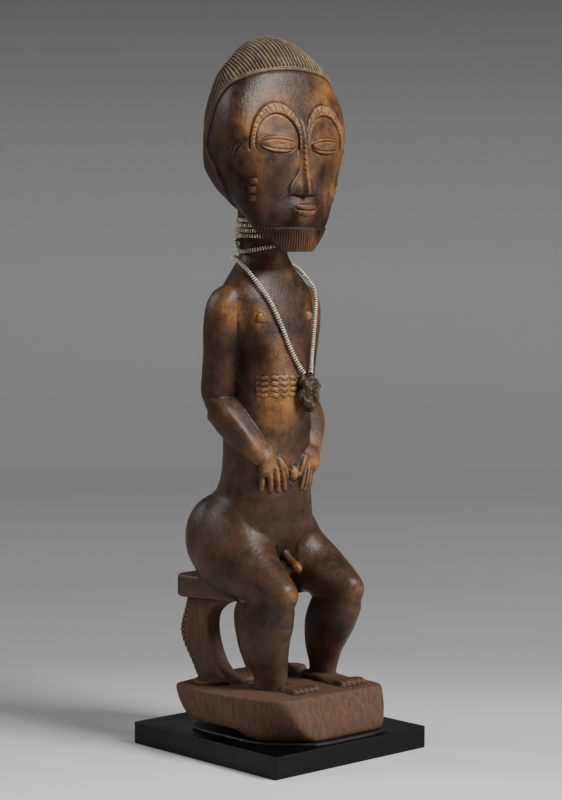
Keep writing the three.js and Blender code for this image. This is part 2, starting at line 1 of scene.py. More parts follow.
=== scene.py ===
"""A seated male figure in the Baule manner, carved with its stool and base from one block of
wood, with a coil and a long string of beads, a pendant and its fitted black mount."""
import math
import bmesh
import bpy
import mathutils
import numpy as np
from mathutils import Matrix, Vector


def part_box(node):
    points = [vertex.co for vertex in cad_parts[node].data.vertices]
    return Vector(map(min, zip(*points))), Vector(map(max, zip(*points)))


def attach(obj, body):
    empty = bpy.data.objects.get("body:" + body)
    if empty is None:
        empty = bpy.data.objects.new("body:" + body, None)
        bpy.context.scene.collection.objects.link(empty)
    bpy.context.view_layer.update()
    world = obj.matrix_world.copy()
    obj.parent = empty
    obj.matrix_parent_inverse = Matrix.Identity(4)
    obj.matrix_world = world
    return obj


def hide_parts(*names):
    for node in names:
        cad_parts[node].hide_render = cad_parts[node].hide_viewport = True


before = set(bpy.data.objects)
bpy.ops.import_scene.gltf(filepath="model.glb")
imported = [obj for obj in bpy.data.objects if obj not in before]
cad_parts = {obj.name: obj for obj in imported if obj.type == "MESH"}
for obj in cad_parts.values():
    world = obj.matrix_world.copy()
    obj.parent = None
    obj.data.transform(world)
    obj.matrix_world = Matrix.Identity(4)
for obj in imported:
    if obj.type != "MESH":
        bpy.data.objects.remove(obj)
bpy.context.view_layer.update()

# ---------------------------------------------------------------- The carved wood
# One block of dense hardwood: base, stool and seated man, cut with adze and knife, rubbed with
# oil and handled until the high places wore through to warm brown. All lengths here are in
# millimetres from the middle of the wood's underside; FOOT is where that lies in the frame.
FOOT = np.array([-4.8, -7.4, 20.5])
FULL_VOXEL = 0.8
VOXEL = FULL_VOXEL  # grid on which the carved masses run together
MOST_TRIANGLES = 192000  # of the wood, once it is thinned out
BASE_TOP = 33.0  # top of the base over its underside
NECK_Y, NECK_R = 21.0, 19.6  # the neck is a plain column
HEAD_FOOT = 381  # level at which the head begins
BEAD_R = 1.7  # half a bead's width; the coil lies in a groove round the neck

carving = bmesh.new()


def along(table, key):
    """Values of a short table at any key, on a smooth curve through its rows."""
    rows = np.array(table, float)
    keys = rows[:, 0]
    key = np.clip(key, keys[0], keys[-1])
    j = np.clip(np.searchsorted(keys, key, side="right") - 1, 0, len(rows) - 2)
    slope = np.empty_like(rows)
    slope[1:-1] = (rows[2:] - rows[:-2]) / (keys[2:] - keys[:-2])[:, None]
    slope[0] = (rows[1] - rows[0]) / (keys[1] - keys[0])
    slope[-1] = (rows[-1] - rows[-2]) / (keys[-1] - keys[-2])
    step = (keys[j + 1] - keys[j])[..., None]
    t = ((key - keys[j]) / (keys[j + 1] - keys[j]))[..., None]
    return ((2 * t**3 - 3 * t**2 + 1) * rows[j] + (t**3 - 2 * t**2 + t) * step * slope[j]
            + (3 * t**2 - 2 * t**3) * rows[j + 1] + (t**3 - t**2) * step * slope[j + 1])


def rounded(value, n):
    """Cosine or sine bent towards a box: n is 2 for a circle and more for squarer corners."""
    return np.sign(value) * np.abs(value) ** (2 / n)


def mass(shape, rings, around, mesh=carving, mirror=False):
    """Adds a closed skin, whose shape(t, a) takes t from 0 to 1 and an angle round it."""
    skin = bmesh.new()
    bmesh.ops.create_uvsphere(skin, u_segments=around, v_segments=rings, radius=1)
    sphere = np.array([v.co[:] for v in skin.verts])
    places = shape(np.arccos(np.clip(-sphere[:, 2], -1, 1)) / math.pi,
                   np.arctan2(sphere[:, 1], sphere[:, 0]))
    for vert, place in zip(skin.verts, places):
        vert.co = place
    whole = bpy.data.meshes.new("mass")
    for flip in ((1, -1) if mirror else (1,)):
        bmesh.ops.scale(skin, verts=skin.verts, vec=(flip, 1, 1))
        bmesh.ops.recalc_face_normals(skin, faces=skin.faces)
        skin.to_mesh(whole)
        mesh.from_mesh(whole)
    skin.free()
    bpy.data.meshes.remove(whole)


def limb(stations, exponent=2.0, cap=0.1):
    """Shape of a limb through stations [x, y, z, half width, half depth] with round ends."""
    table = np.column_stack([np.arange(len(stations)), np.array(stations, float)])
    last = len(stations) - 1

    def shape(t, a):
        inner = np.clip((t - cap) / (1 - 2 * cap), 0, 1) * last
        here = along(table, inner)[:, 1:]
        ahead = along(table, inner + 0.02)[:, 1:4] - along(table, inner - 0.02)[:, 1:4]
        ahead /= np.linalg.norm(ahead, axis=1)[:, None]
        side = np.array([1.0, 0, 0]) - ahead[:, :1] * ahead
        side /= np.linalg.norm(side, axis=1)[:, None]
        up = np.cross(ahead, side)
        end = np.minimum(np.minimum(t, 1 - t) / cap, 1)
        drawn = np.sin(end * math.pi / 2)
        domed = 1 - np.sqrt(np.clip(1 - (1 - end)**2, 0, 1))
        beyond = np.where(t < 0.5, -1, 1) * 0.5 * here[:, 4] * domed
        return (here[:, :3] + ahead * beyond[:, None]
                + side * (here[:, 3] * drawn * rounded(np.cos(a), exponent))[:, None]
                + up * (here[:, 4] * drawn * rounded(np.sin(a), exponent))[:, None])
    return shape


def ball(x, y, z, rx, ry, rz):
    """Shape of an egg round a middle point, with its three half sizes."""
    return lambda t, a: np.column_stack([
        x + rx * np.sin(math.pi * t) * np.cos(a), y + ry * np.sin(math.pi * t) * np.sin(a),
        z - rz * np.cos(math.pi * t)])


def levels(t, low, high, cap=0.06):
    """Turns t into levels between flat ends, and into how far across an end a point lies."""
    end = np.minimum(np.minimum(t, 1 - t) / cap, 1)
    return low + (high - low) * np.clip((t - cap) / (1 - 2 * cap), 0, 1), end


# The base: walls draw in to an uneven underside, the front left corner is drawn in most.
# Rows are [level, reach to the left, right, front and back, draw of that corner, where it starts]
WALLS = [
    [0, 57, 51, 70.5, 42, 0.46, 34], [4, 62, 53, 71.5, 48, 0.38, 32],
    [10, 66.5, 54.5, 71, 53, 0.32, 26], [22, 71, 56.5, 68.5, 59, 0.24, 10],
    [31, 72.5, 57, 65.5, 61.5, 0.19, 0], [33, 72, 56.5, 64.5, 61, 0.19, 0]]


def base_top(x, y):
    """Level of the base's top, which falls a little to the right and the back."""
    return BASE_TOP + 0.9 - 0.008 * x - 0.012 * y


def smooth(value, low, high):
    """0 up to low, 1 from high on, and an eased step between them."""
    t = np.clip((value - low) / (high - low), 0, 1)
    return t * t * (3 - 2 * t)


def hump(offset, width):
    """1 where the offset is 0, dying away to nothing over about twice the width."""
    return np.exp(-(offset / width)**2)


def base_block(t, a):
    level, end = levels(t, 0, BASE_TOP, 0.28)
    _, left, right, front, back, drawn, start = along(WALLS, level).T
    n = np.where(np.sin(a) < 0, 12, 6)
    reach = (np.abs(np.cos(a) / np.where(np.cos(a) < 0, left, right))**n
             + np.abs(np.sin(a) / np.where(np.sin(a) < 0, front, back))**n) ** (-1 / n) * end
    x, y = reach * np.cos(a), reach * np.sin(a)
    x = np.where(x < 0, x * (1 - drawn * smooth(-y, start, 68)), x)
    raised = 5 * (1 - smooth(level, 0, 9)) * smooth(y, -28, -10)
    sloped = smooth(level, 22, 33) * (base_top(x, y) - BASE_TOP)
    return np.column_stack([x, y, level + raised + sloped])


mass(base_block, 90, 160)

# The stool: a low oval plate, two bowed planks and a thick seat. The planks' back edges and
# their front edge are [level, y]
NEAR_BACK = [[28, 57], [34, 61], [47, 70], [60, 79.5], [71, 83.5], [81, 81], [92, 76.5], [101, 74]]
FAR_BACK = [[28, 66], [34, 71], [47, 78.5], [60, 83], [71, 85.2], [81, 84.4], [92, 79], [101, 74]]
PLANK_FRONT = [[28, 6], [34, 16], [41, 29.5], [50, 39], [66, 46.5], [78, 48.5], [88, 46], [95, 38],
               [101, 24]]
SEAT_TOP, SEAT_UNDER, SEAT_HALF, SEAT_FRONT, SEAT_BACK = 119.0, 99.5, 45.5, 4.0, 80.5


def plank(side, back_line):
    def shape(t, a):
        z, end = levels(t, 29, 102)
        back, front = along(back_line, z)[:, 1], along(PLANK_FRONT, z)[:, 1]
        y = (front + back) / 2 + (back - front) / 2 * end * rounded(np.sin(a), 9)
        return np.column_stack([side * (30 + 8 * end * rounded(np.cos(a), 9)), y, z])
    return shape


def seat(t, a):
    z, end = levels(t, SEAT_UNDER, SEAT_TOP, 0.3)
    edge = 1.8 * np.clip(1 - np.minimum(z - SEAT_UNDER, SEAT_TOP - z) / 2.5, 0, 1)**2
    middle, deep = (SEAT_FRONT + SEAT_BACK) / 2, (SEAT_BACK - SEAT_FRONT) / 2
    y = middle + (deep - edge) * end * rounded(np.sin(a), 14)
    thinner = 4 * smooth(-y, -SEAT_BACK, -SEAT_FRONT) * (1 - smooth(z, SEAT_UNDER, SEAT_UNDER + 4))
    return np.column_stack([(SEAT_HALF - edge) * end * rounded(np.cos(a), 14), y, z + thinner])


def stool_plate(t, a):
    z, end = levels(t, 29, 37, 0.3)
    x, y = 58 * end * rounded(np.cos(a), 2.4), 37 + 20 * end * rounded(np.sin(a), 2.4)
    return np.column_stack([x, y, np.minimum(z, base_top(x, y) + 3.4)])


mass(plank(-1, NEAR_BACK), 80, 64)
mass(plank(1, FAR_BACK), 80, 64)
mass(seat, 50, 96)
mass(stool_plate, 30, 120)

# Legs: deep calves on narrow ankles, knees bent forward, flat feet with five toes. The shins
# are [level, x, y, girth]
SHINS = [
    [[32, -26, -15.7, 13.4], [40, -26, -15.9, 13.2], [46, -26.5, -16.6, 13.8], [60, -29, -15.2, 17.6],
     [70, -30, -14.2, 19.7], [81, -30.5, -14.7, 21], [90, -30.5, -17.6, 21.2], [99, -30.5, -22, 19.8],
     [108, -31, -30, 16], [115, -31, -37, 6]],
    [[32, 36.5, -10.9, 11.4], [40, 36.5, -10.9, 10.8], [48, 36.5, -11.5, 12.2], [61, 36.5, -12.2, 15.6],
     [70, 36.5, -14, 17.7], [80, 36.5, -17.6, 19.4], [90, 36.5, -23.5, 19.6], [99, 36.5, -31, 18],
     [107, 36.7, -37, 15], [113.5, 37, -42, 6]]]
for shin in SHINS:
    mass(limb([[x, y, z, 0.83 * r, 1.18 * r] for z, x, y, r in shin], cap=0.05), 60, 48)
for x, knee_y, knee_z, side, girth in [(-31, -47.5, 112, -1, 1.0), (37, -52.5, 110.5, 1, 0.94)]:
    mass(ball(side * 25, 50, 150, 27, 25.5, 35.5), 40, 48)
    mass(limb([[side * 24, 60, 154, 10, 16], [side * 25, 50, 152, 22.5, 34.5],
               [side * 28, 33, 146, 27, 41 * girth], [side * 30.5, 13, 133.5, 26, 33 * girth],
               [x, -5, 124.5, 23, 24.5 * girth], [x, knee_y + 27, knee_z + 6, 18.5, 19 * girth],
               [x, knee_y + 13, knee_z + 1, 14.2, 14.5], [x, knee_y + 4, knee_z - 2, 10.8, 10.8],
               [x, knee_y, knee_z - 3, 5.5, 5.5]], cap=0.06), 60, 56)
for x, heel_y, toe_y in [(-18, 2, -52.5), (33.5, 4, -53)]:
    mass(limb([[x, heel_y, 35, 8, 4.6], [x, -10, 35.5, 9.5, 5], [x, -28, 34.5, 11.5, 4.4],
               [x, -40, 34.2, 13, 3.8], [x, toe_y + 8, 34, 13.2, 3.2]], exponent=2.8), 40, 40)
    for k in range(5):
        dx = -10.8 + 5.4 * k
        mass(limb([[x + 0.9 * dx, toe_y + 15, 36, 2.1, 2.2], [x + dx, toe_y + 7, 36.4, 2.35, 2.7],
                   [x + dx, toe_y + 2.2, 35.6, 2.35, 2.7]], cap=0.25), 24, 20)

# Trunk [level, middle y, half width, front, back] and its arms and hands
TRUNK_N = 2.15  # how far its levels are bent from an oval towards a box
TRUNK = [
    [114, 30, 34, 20, 40], [124, 28, 40, 25, 48], [140, 24, 44, 29.5, 57], [149, 22, 44, 32, 58],
    [157, 20.5, 43, 33.5, 60], [168, 19.5, 41, 34.5, 58], [178, 19, 39.3, 34.5, 52],
    [188, 18.5, 37.8, 34.3, 43], [197, 18, 37, 34, 37], [206, 17.5, 36.8, 33.8, 33.8],
    [235, 17.5, 35.5, 33, 33], [262, 16.8, 35, 33, 33], [280, 16, 35.5, 33, 33.5],
    [300, 16, 37, 30.6, 31], [322, 16.5, 38.5, 27.8, 28], [338, 17.5, 42.5, 25.5, 26],
    [346, 18, 45, 24, 25], [353, 18.5, 42.5, 22.5, 23.5], [360, 19.5, 36.5, 22, 22.5],
    [368, 20.5, 28.5, 21.5, 21.5], [375.5, 21, 22.4, 20.4, 20.4],
    [381, NECK_Y, NECK_R, NECK_R, NECK_R], [425, NECK_Y, NECK_R, NECK_R, NECK_R]]


def trunk(t, a):
    z, end = levels(t, 114, 425, 0.04)
    _, middle, half, front, back = along(TRUNK, z).T
    n = TRUNK_N - (TRUNK_N - 2) * smooth(z, 368, 381)
    y = middle + np.where(np.sin(a) < 0, front, back) * end * rounded(np.sin(a), n)
    return np.column_stack([half * end * rounded(np.cos(a), n), y, z])


def front_of(table, n, x, z):
    """How far front the trunk or the head comes at x and level z."""
    middle, half, front, _ = along(table, np.atleast_1d(np.asarray(z, float))).T[-4:]
    return middle - front * np.clip(1 - np.abs(x / half)**n, 0, 1)**(1 / n)


mass(trunk, 170, 110)
UPPER_ARM = [[30, 18, 350, 5, 5], [38, 18.5, 347, 11, 11], [43.5, 20, 339, 13.2, 13.6],
             [45, 22, 322, 13.4, 14], [43.6, 24, 302, 13, 14], [43.8, 26, 284, 12.6, 13.6],
             [44, 27.5, 268, 12, 12.8], [43.6, 28, 257, 6, 7]]
mass(limb(UPPER_ARM, exponent=2.3, cap=0.05), 60, 56, mirror=True)
for side, wrist_in in [(-1, 0), (1, 2.4)]:
    mass(limb([[side * 43.6, 35, 256, 5, 5], [side * 43.8, 27, 260, 11.8, 11.6],
               [side * 42.4, 19, 254, 12.4, 12.4], [side * 39, 9.5, 243, 12, 12],
               [side * (34.6 - wrist_in), 0.8, 232.5, 10.4, 10],
               [side * (29.8 - wrist_in), -5, 224, 8.8, 7.6],
               [side * (26.4 - wrist_in), -8.6, 217, 7.4, 5.4]], exponent=3.6, cap=0.05), 60, 56)

# Hands laid on the belly: [level, middle x, spread of the fingers] at the wrist, the palm and
# along the fingers, whose half widths and depths follow. The thumbs lie inward
HANDS = {-1: [[218, 22, 4.1], [208, 20.6, 4.6], [198, 19.4, 5.3], [190.5, 18.8, 5.8]],
         1: [[218, 19.4, 3.8], [208, 17, 4.2], [198, 14.8, 4.5], [190, 13.6, 4.7]]}
FINGER_HALF, FINGER_DEEP = (1.8, 2.0, 2.1, 1.7), (2.2, 3.4, 3.2, 2.1)


def laid(side, x, z, behind, half, deep, raised=0.0, out=0.0):
    """Station of a limb that lies on the belly, its middle so far behind the belly's skin."""
    return [side * (x + out), front_of(TRUNK, TRUNK_N, x, z)[0] + behind, z + raised, half, deep]


for side, rows in HANDS.items():
    wrist_x, palm_x, finger_x = (row[1] for row in rows[:3])
    back_of_hand = [[side * (wrist_x + 4), -8, 225, 6, 4.6],
                    laid(side, wrist_x, 218, -0.6, 9.8, 4.8, out=1),
                    laid(side, palm_x, 210, -0.6, 10.6, 3.6, out=0.6),
                    laid(side, palm_x, 205, 1, 8.6, 2.4)]
    mass(limb(back_of_hand, exponent=2.6, cap=0.16), 28, 32)
    for k in (-1.5, -0.5, 0.5, 1.5):
        finger = [laid(side, middle_x + k * spread, level, 0.35 * abs(k) - 1.3, half, deep, 1.1 * abs(k))
                  for (level, middle_x, spread), half, deep in zip(rows, FINGER_HALF, FINGER_DEEP)]
        mass(limb(finger, exponent=2.2, cap=0.16), 28, 20)
    thumb = [laid(side, wrist_x - 6.5, 219, -0.6, 2, 2.2),
             laid(side, palm_x - 9.6, 210, -1.1, 2.2, 2.8, 0.5),
             laid(side, finger_x - 11, 202, -0.8, 1.5, 1.8, 0.5)]
    mass(limb(thumb, exponent=2.2, cap=0.16), 28, 20)

# Nipples, navel and the parts between the legs
mass(ball(26, -4.8, 331, 3.9, 2.2, 3.7), 16, 20, mirror=True)
mass(ball(-1, -15.6, 205.5, 4.7, 4.2, 6), 24, 32)
mass(limb([[0, 4, 146, 5, 5], [0, -2, 141, 4.6, 4.6], [0, -9, 135.5, 3.8, 3.8], [0, -15, 132, 3.8, 3.6],
           [0, -19, 129.5, 4.4, 4.2], [0, -23, 127.3, 2.4, 2.4]], cap=0.12), 36, 28)
mass(ball(-1, -5.5, 127.5, 6, 6.5, 8.5), 20, 28)

# The head in levels at the face [level, lean of the jaw, middle y, half width, front, back]
HEAD_N = 2.02  # how far its levels are bent from an oval towards a box
HEAD = [
    [382.5, 0.62, -8, 21, 18, 16], [390, 0.48, -8.5, 29, 18.5, 28], [400, 0.34, -9, 36, 18.5, 34],
    [412, 0.2, -9, 42, 18.5, 43.5], [425, 0.1, -9, 47, 18, 61.5], [438, 0.05, -9, 51.5, 18, 72],
    [452, 0, -9, 56, 18, 77.5], [467, 0, -9, 60, 18, 74.5], [481, 0, -8, 61.5, 18.5, 70.5],
    [495, 0, -6, 61, 18, 64], [504, 0, -4, 58.5, 18.5, 59], [513, 0, -1.5, 54, 19.5, 54.5],
    [523, 0, 2, 48, 20.5, 48.5], [537, 0, 8.5, 35, 19, 30.5], [545, 0, 13, 24.5, 16.5, 20.5],
    [551, 0, 17, 12.5, 11, 11], [553.5, 0, 18, 3, 3, 3]]


def head(t, a):
    level, end = levels(t, 382.5, 553.5, 0.08)
    _, lean, middle, half, front, back = along(HEAD, level).T
    x = half * end * rounded(np.cos(a), HEAD_N)
    y = middle + np.where(np.sin(a) < 0, front, back) * end * rounded(np.sin(a), HEAD_N)
    z = level + lean * np.maximum(0, y + 21)
    # under the jaw the wood is cut back round the neck, where the coil of beads lies
    room = NECK_R + 2 * BEAD_R + 1.6
    z = np.where((np.hypot(x, y - NECK_Y) < room) & (z < 412), 412, z)
    return np.column_stack([x, y, z])


mass(head, 200, 160)

# Face: flat hatched brows that arch from the nose round each eye, almond eyes, a long thin
# nose with a flat foot, a small mouth on a slight mound, and raised marks on the cheeks
EYE_X, EYE_Z, EYE_HALF, EYE_TALL = 25.2, 466.8, 16.8, 6.6  # middle, half width, half height
NOSE = [[427.5, 16.3, 7.6], [433, 15.6, 7.4], [438, 12.6, 6.8], [443, 8.6, 6], [448, 6, 5.2],
        [458, 4.4, 4.4], [474, 3.7, 2.6], [487, 3.2, 0.5]]  # [level, half width, rise of the ridge]


def eyeball(t, a):
    dx = EYE_HALF * np.sin(math.pi * t) * np.cos(a)
    out = 3.2 * np.cos(math.pi * t) * np.sin(math.pi * t)**0.3
    dz = EYE_TALL * np.sin(math.pi * t) * np.sin(a) * np.abs(np.sin(a))**0.5
    y = front_of(HEAD, HEAD_N, EYE_X, EYE_Z) + 0.155 * dx + out
    return np.column_stack([EYE_X + dx, y, EYE_Z + dz])


mass(eyeball, 40, 72, mirror=True)


def nose(t, a):
    z, end = levels(t, 427.5, 487, 0.12)
    _, foot, rise = along(NOSE, z).T
    across = np.cos(a)
    slope = 1 - np.abs(across)
    ridge = np.exp(-(across * foot / 2.5)**6)  # a flat band where two facets meet
    out = rise * (0.2 + 0.28 * slope + 0.52 * ridge)
    out *= 1 - 0.45 * hump(slope - 0.33, 0.15) * smooth(-z, -446, -438)
    face_y = front_of(HEAD, HEAD_N, np.abs(across) * foot, z)
    y = np.where(np.sin(a) > 0, face_y + 4, face_y + 1 - (out + 1) * np.minimum(1, -5 * np.sin(a)))
    return np.column_stack([across * foot * end, face_y + (y - face_y) * end, z])


mass(nose, 90, 160)

# The masses run together on a fine grid, as knife and rasp leave them
bmesh.ops.translate(carving, verts=carving.verts, vec=FOOT)
bmesh.ops.scale(carving, verts=carving.verts, vec=(0.001, 0.001, 0.001))


def add_object(name, data):
    """Puts a mesh, a bmesh, a lamp or a camera into the scene."""
    if isinstance(data, bmesh.types.BMesh):
        skin, data = data, bpy.data.meshes.new(name)
        skin.to_mesh(data)
        skin.free()
    obj = bpy.data.objects.new(name, data)
    bpy.context.scene.collection.objects.link(obj)
    return obj


def as_modified(obj):
    """A mesh with an object's modifiers applied, which the object then loses."""
    done = bpy.data.meshes.new_from_object(obj.evaluated_get(bpy.context.evaluated_depsgraph_get()))
    obj.modifiers.clear()
    return done


def settle(obj):
    """Applies an object's modifiers to its mesh."""
    done = as_modified(obj)
    old, obj.data = obj.data, done
    bpy.data.meshes.remove(old)
    return done


wood = add_object("carved_figure", carving)
remesh = wood.modifiers.new("run_together", "REMESH")
remesh.mode = "VOXEL"
remesh.voxel_size = VOXEL / 1000
wood_mesh = settle(wood)


def points(mesh):
    """A mesh's points in millimetres from FOOT."""
    flat = np.empty(3 * len(mesh.vertices), np.float32)
    mesh.vertices.foreach_get("co", flat)
    return flat.reshape(-1, 3).astype(float) * 1000 - FOOT


def normals(mesh):
    """The way out of the skin at each point."""
    flat = np.empty(3 * len(mesh.vertices), np.float32)
    mesh.vertex_normals.foreach_get("vector", flat)
    return flat.reshape(-1, 3).astype(float)


def eased(obj, rounds):
    """Where an object's points lie once its skin has been rubbed down that many rounds."""
    rub = obj.modifiers.new("rub", "SMOOTH")
    rub.factor = 0.5
    rub.iterations = int(rounds * (FULL_VOXEL / VOXEL)**2)
    soft = as_modified(obj)
    places = points(soft)
    bpy.data.meshes.remove(soft)
    return places


def put(mesh, places):
    """Moves a mesh's points to places in millimetres from FOOT."""
    mesh.vertices.foreach_set("co", ((places + FOOT) / 1000).astype(np.float32).ravel())
    mesh.update()


# Shoulders, hips, knees and calves run into each other, and the temples and the back of the
# crown are rubbed down: creases fill, full forms hardly give. The stool and groin stay crisp
p, n = points(wood_mesh), normals(wood_mesh)
x, y, z = np.abs(p[:, 0]), p[:, 1], p[:, 2]
flowing = smooth(z, 272, 316) * (1 - smooth(z, 372, 379))
flowing += smooth(z, 104, 112) * (1 - smooth(z, 186, 200))
flowing += smooth(z, 42, 48) * (1 - smooth(z, 104, 112)) * (y < 14)
flowing *= 1 - (y > -6) * (1 - smooth(z, 120, 123)) * (z > 96)
flowing *= 1 - (x < 13) * (y < 8) * (z > 110) * (z < 154)
temples = smooth(x, 30, 44) * smooth(z, 386, 400) * (1 - smooth(z, 545, 552)) * (1 - smooth(y, 14, 34))
crown_back = smooth(y, 18, 32) * smooth(z, 480, 500)
temples = np.clip(temples + crown_back, 0, 1)
give = 0.25 + 0.3 * (z > 100) * (z < 200) + 0.6 * temples
change = np.sum((eased(wood, 420) - p) * n, axis=1)
change = np.clip(flowing + temples, 0, 1) * (np.clip(change, 0, 6) + give * np.clip(change, -8, 0))
put(wood_mesh, p + n * change[:, None])
put(wood_mesh, eased(wood, 6))

# The head carries the finest cutting, so its skin is split once more
fine = bmesh.new()
fine.from_mesh(wood_mesh)
z_low = (HEAD_FOOT + FOOT[2]) / 1000
edges = [e for e in fine.edges if e.verts[0].co.z > z_low and e.verts[1].co.z > z_low]
bmesh.ops.subdivide_edges(fine, edges=edges, cuts=1, use_grid_fill=True, smooth=0)
fine.to_mesh(wood_mesh)
fine.free()


def rough(p, size, seed):
    """Smooth random values between -1 and 1 that change over about size millimetres."""
    q = p / size + 31.7 * seed
    cell = np.floor(q).astype(np.int64)
    f = q - cell
    f = f * f * (3 - 2 * f)
    total = np.zeros(len(p))
    for corner in range(8):
        d = np.array([corner & 1, corner >> 1 & 1, corner >> 2 & 1])
        c = cell + d
        h = (c[:, 0] * 73856093 ^ c[:, 1] * 19349663 ^ c[:, 2] * 83492791 ^ seed * 2654435761) & 0xFFFFFFFF
        h = (h ^ (h >> 15)) * 2246822519 & 0xFFFFFFFF
        h = (h ^ (h >> 13)) * 3266489917 & 0xFFFFFFFF
        value = ((h ^ (h >> 16)) & 0xFFFF) / 32767.5 - 1
        total += value * np.prod(np.where(d == 1, f, 1 - f), axis=1)
    return total


# Hairline in side view [level, y], the seam behind which the hair lies flat, and how far from
# upright the axis stands on which the combed ridges fan out
HAIRLINE = [[405, 22], [428, 17.5], [436, 15.5], [450, 19], [468, 29], [490, 15.5], [510, 2.5],
            [527.5, -19], [545, -30], [600, -40]]
SEAM = [[440, 10], [466, 27], [485, 36.5], [500, 39], [520, 36], [535, 31], [548, 27], [560, 25]]
COMB_ANGLE = math.radians(45)
SCAR_ROWS, SCAR_PITCH = (282.4, 277.8, 273.1, 268.5), 8.5


def in_hair(p):
    """How far back of the hairline a point is, in millimetres, in side view."""
    _, y, z = p.T
    ahead = along(HAIRLINE, z + 0.5)[:, 1] - along(HAIRLINE, z - 0.5)[:, 1]
    return np.where(z < 406, -10, (y - along(HAIRLINE, z)[:, 1]) / np.sqrt(1 + ahead**2))


def comb(p):
    """Number of the ridge at a point, how fully the ridges are cut, how far back of the hairline
    and of the seam it is."""
    x, y, z = p.T
    u = -y * math.sin(COMB_ANGLE) + z * math.cos(COMB_ANGLE) - 330
    turn = np.arctan2(np.abs(x), u)
    number = 16 * turn + 6 * np.maximum(0, turn - 0.5) + 0.16 * rough(p, 9, 51)  # wider apart on top
    edge, behind = in_hair(p), y - along(SEAM, z)[:, 1]
    ridged = smooth(edge, 2.4, 3.2) * (1 - smooth(behind, -0.6, 0.6))
    return number, ridged * smooth(np.hypot(x, u), 14, 26), edge, behind


def beard_ribs(p, n):
    """Number of the beard's rib at a point, how fully the ribs are cut, its level at the face."""
    x, y, z = p.T
    level = z
    for _ in range(8):
        level = z - along(HEAD, level)[:, 1] * np.maximum(0, y + 21)
    cut = smooth(-level, -401, -400) * smooth(-y, 2, 7) * smooth(n[:, 2], -0.8, -0.6) * (z > HEAD_FOOT)
    return np.arctan2(x, 30 - y) * 24.5 + 0.2 * rough(p, 8, 57), cut, level


def ripple(length, pitch=1.0, phase=0.0):
    """A wave between -1 and 1 with one crest to each pitch."""
    return np.cos(2 * math.pi * length / pitch + phase)


def oval(across, up, middle, level, half, tall):
    """0 in the middle of an oval and 1 on its edge."""
    return np.hypot((across - middle) / half, (up - level) / tall)


# Hair: a raised cap with a corded edge, ridges combed to the seam and fine rows behind it
p, n = points(wood_mesh), normals(wood_mesh)
across, y, z = p.T
x = np.abs(across)
number, ridged, edge, behind = comb(p)
lift = 1.5 * smooth(edge, -0.3, 0.6) - 0.4 * smooth(behind, -0.8, 0.8) * smooth(edge, 3, 6)
lift += ridged * 0.42 * (ripple(number) + 0.25 * ripple(number, 0.5) - 0.3)
rows_behind = np.arctan2(across, y + 8) * 24
lift += smooth(behind, 1.5, 3) * smooth(edge, 4, 7) * 0.16 * ripple(rows_behind)
lift += 0.4 * hump(edge - 0.8, 0.4) + 0.4 * hump(edge - 2.3, 0.4)
lift -= 0.45 * hump(edge - 1.55, 0.3) + 0.4 * hump(edge + 0.7, 0.5)

# Beard: fine upright ribs under a step round the jaw
rib, bearded, level = beard_ribs(p, n)
lift += bearded * (0.35 + 0.34 * ripple(rib))
lift -= 0.5 * hump(level - 402.5, 1.2) * (y < -5) * (z > 385)

# Brows: flat hatched bands with cut edges, between two ovals [middle x, level, half width,
# half height]. Eyes: a raised rim round an almond with a cut slit
BROW_INNER, BROW_OUTER = (25.5, 468, 20.6, 23), (25.3, 468, 24.3, 31)
ALMOND_X, ALMOND_HALF, ALMOND_TALL = 25.3, 16.6, 6.3
face = (y < 2) & (z > 384)
inner, outer = oval(x, z, *BROW_INNER), oval(x, z, *BROW_OUTER)
band = smooth(inner, 0.99, 1.03) * (1 - smooth(outer, 0.98, 1.02))
band *= smooth(z, 461, 466) * smooth(x, 2.4, 4) * face
around_eye = np.arctan2(z - 468, x - 25.4)
hatch = around_eye * 19 + 3 * (inner + outer) + 1.6 * rough(p, 6, 52)
lift += band * (1.5 + 0.35 * rough(p, 3.5, 53) - 0.5 * hump(np.sin(hatch), 0.28))
brow_edges = 0.5 * hump(inner - 0.965, 0.02) + 0.55 * hump(outer - 1.035, 0.022)
lift -= face * (z > 462) * (x > 2.5) * brow_edges
lift -= face * 0.9 * np.exp(-(((x - 25.5) / 15)**2 + ((z - 481) / 8)**2)**2)  # sunk upper lid
lens_x = (x - ALMOND_X) / ALMOND_HALF
lens_tall = ALMOND_TALL * np.sqrt(np.clip(1 - np.abs(lens_x)**2.2, 0, 1))
opening = np.abs(z - EYE_Z - 0.6 * lens_x) / np.maximum(lens_tall, 0.05)
opening = np.where(np.abs(lens_x) > 1, 9, opening)  # 0 along the slit and 1 at the almond's edge
eye = 0.85 * hump(opening - 0.86, 0.13) - 0.7 * hump(opening - 1.08, 0.08)
eye -= (0.35 + 0.5 * (z > 467)) * hump(opening - 0.62, 0.08)
lift += face * (eye + 0.35 * (opening < 0.5))

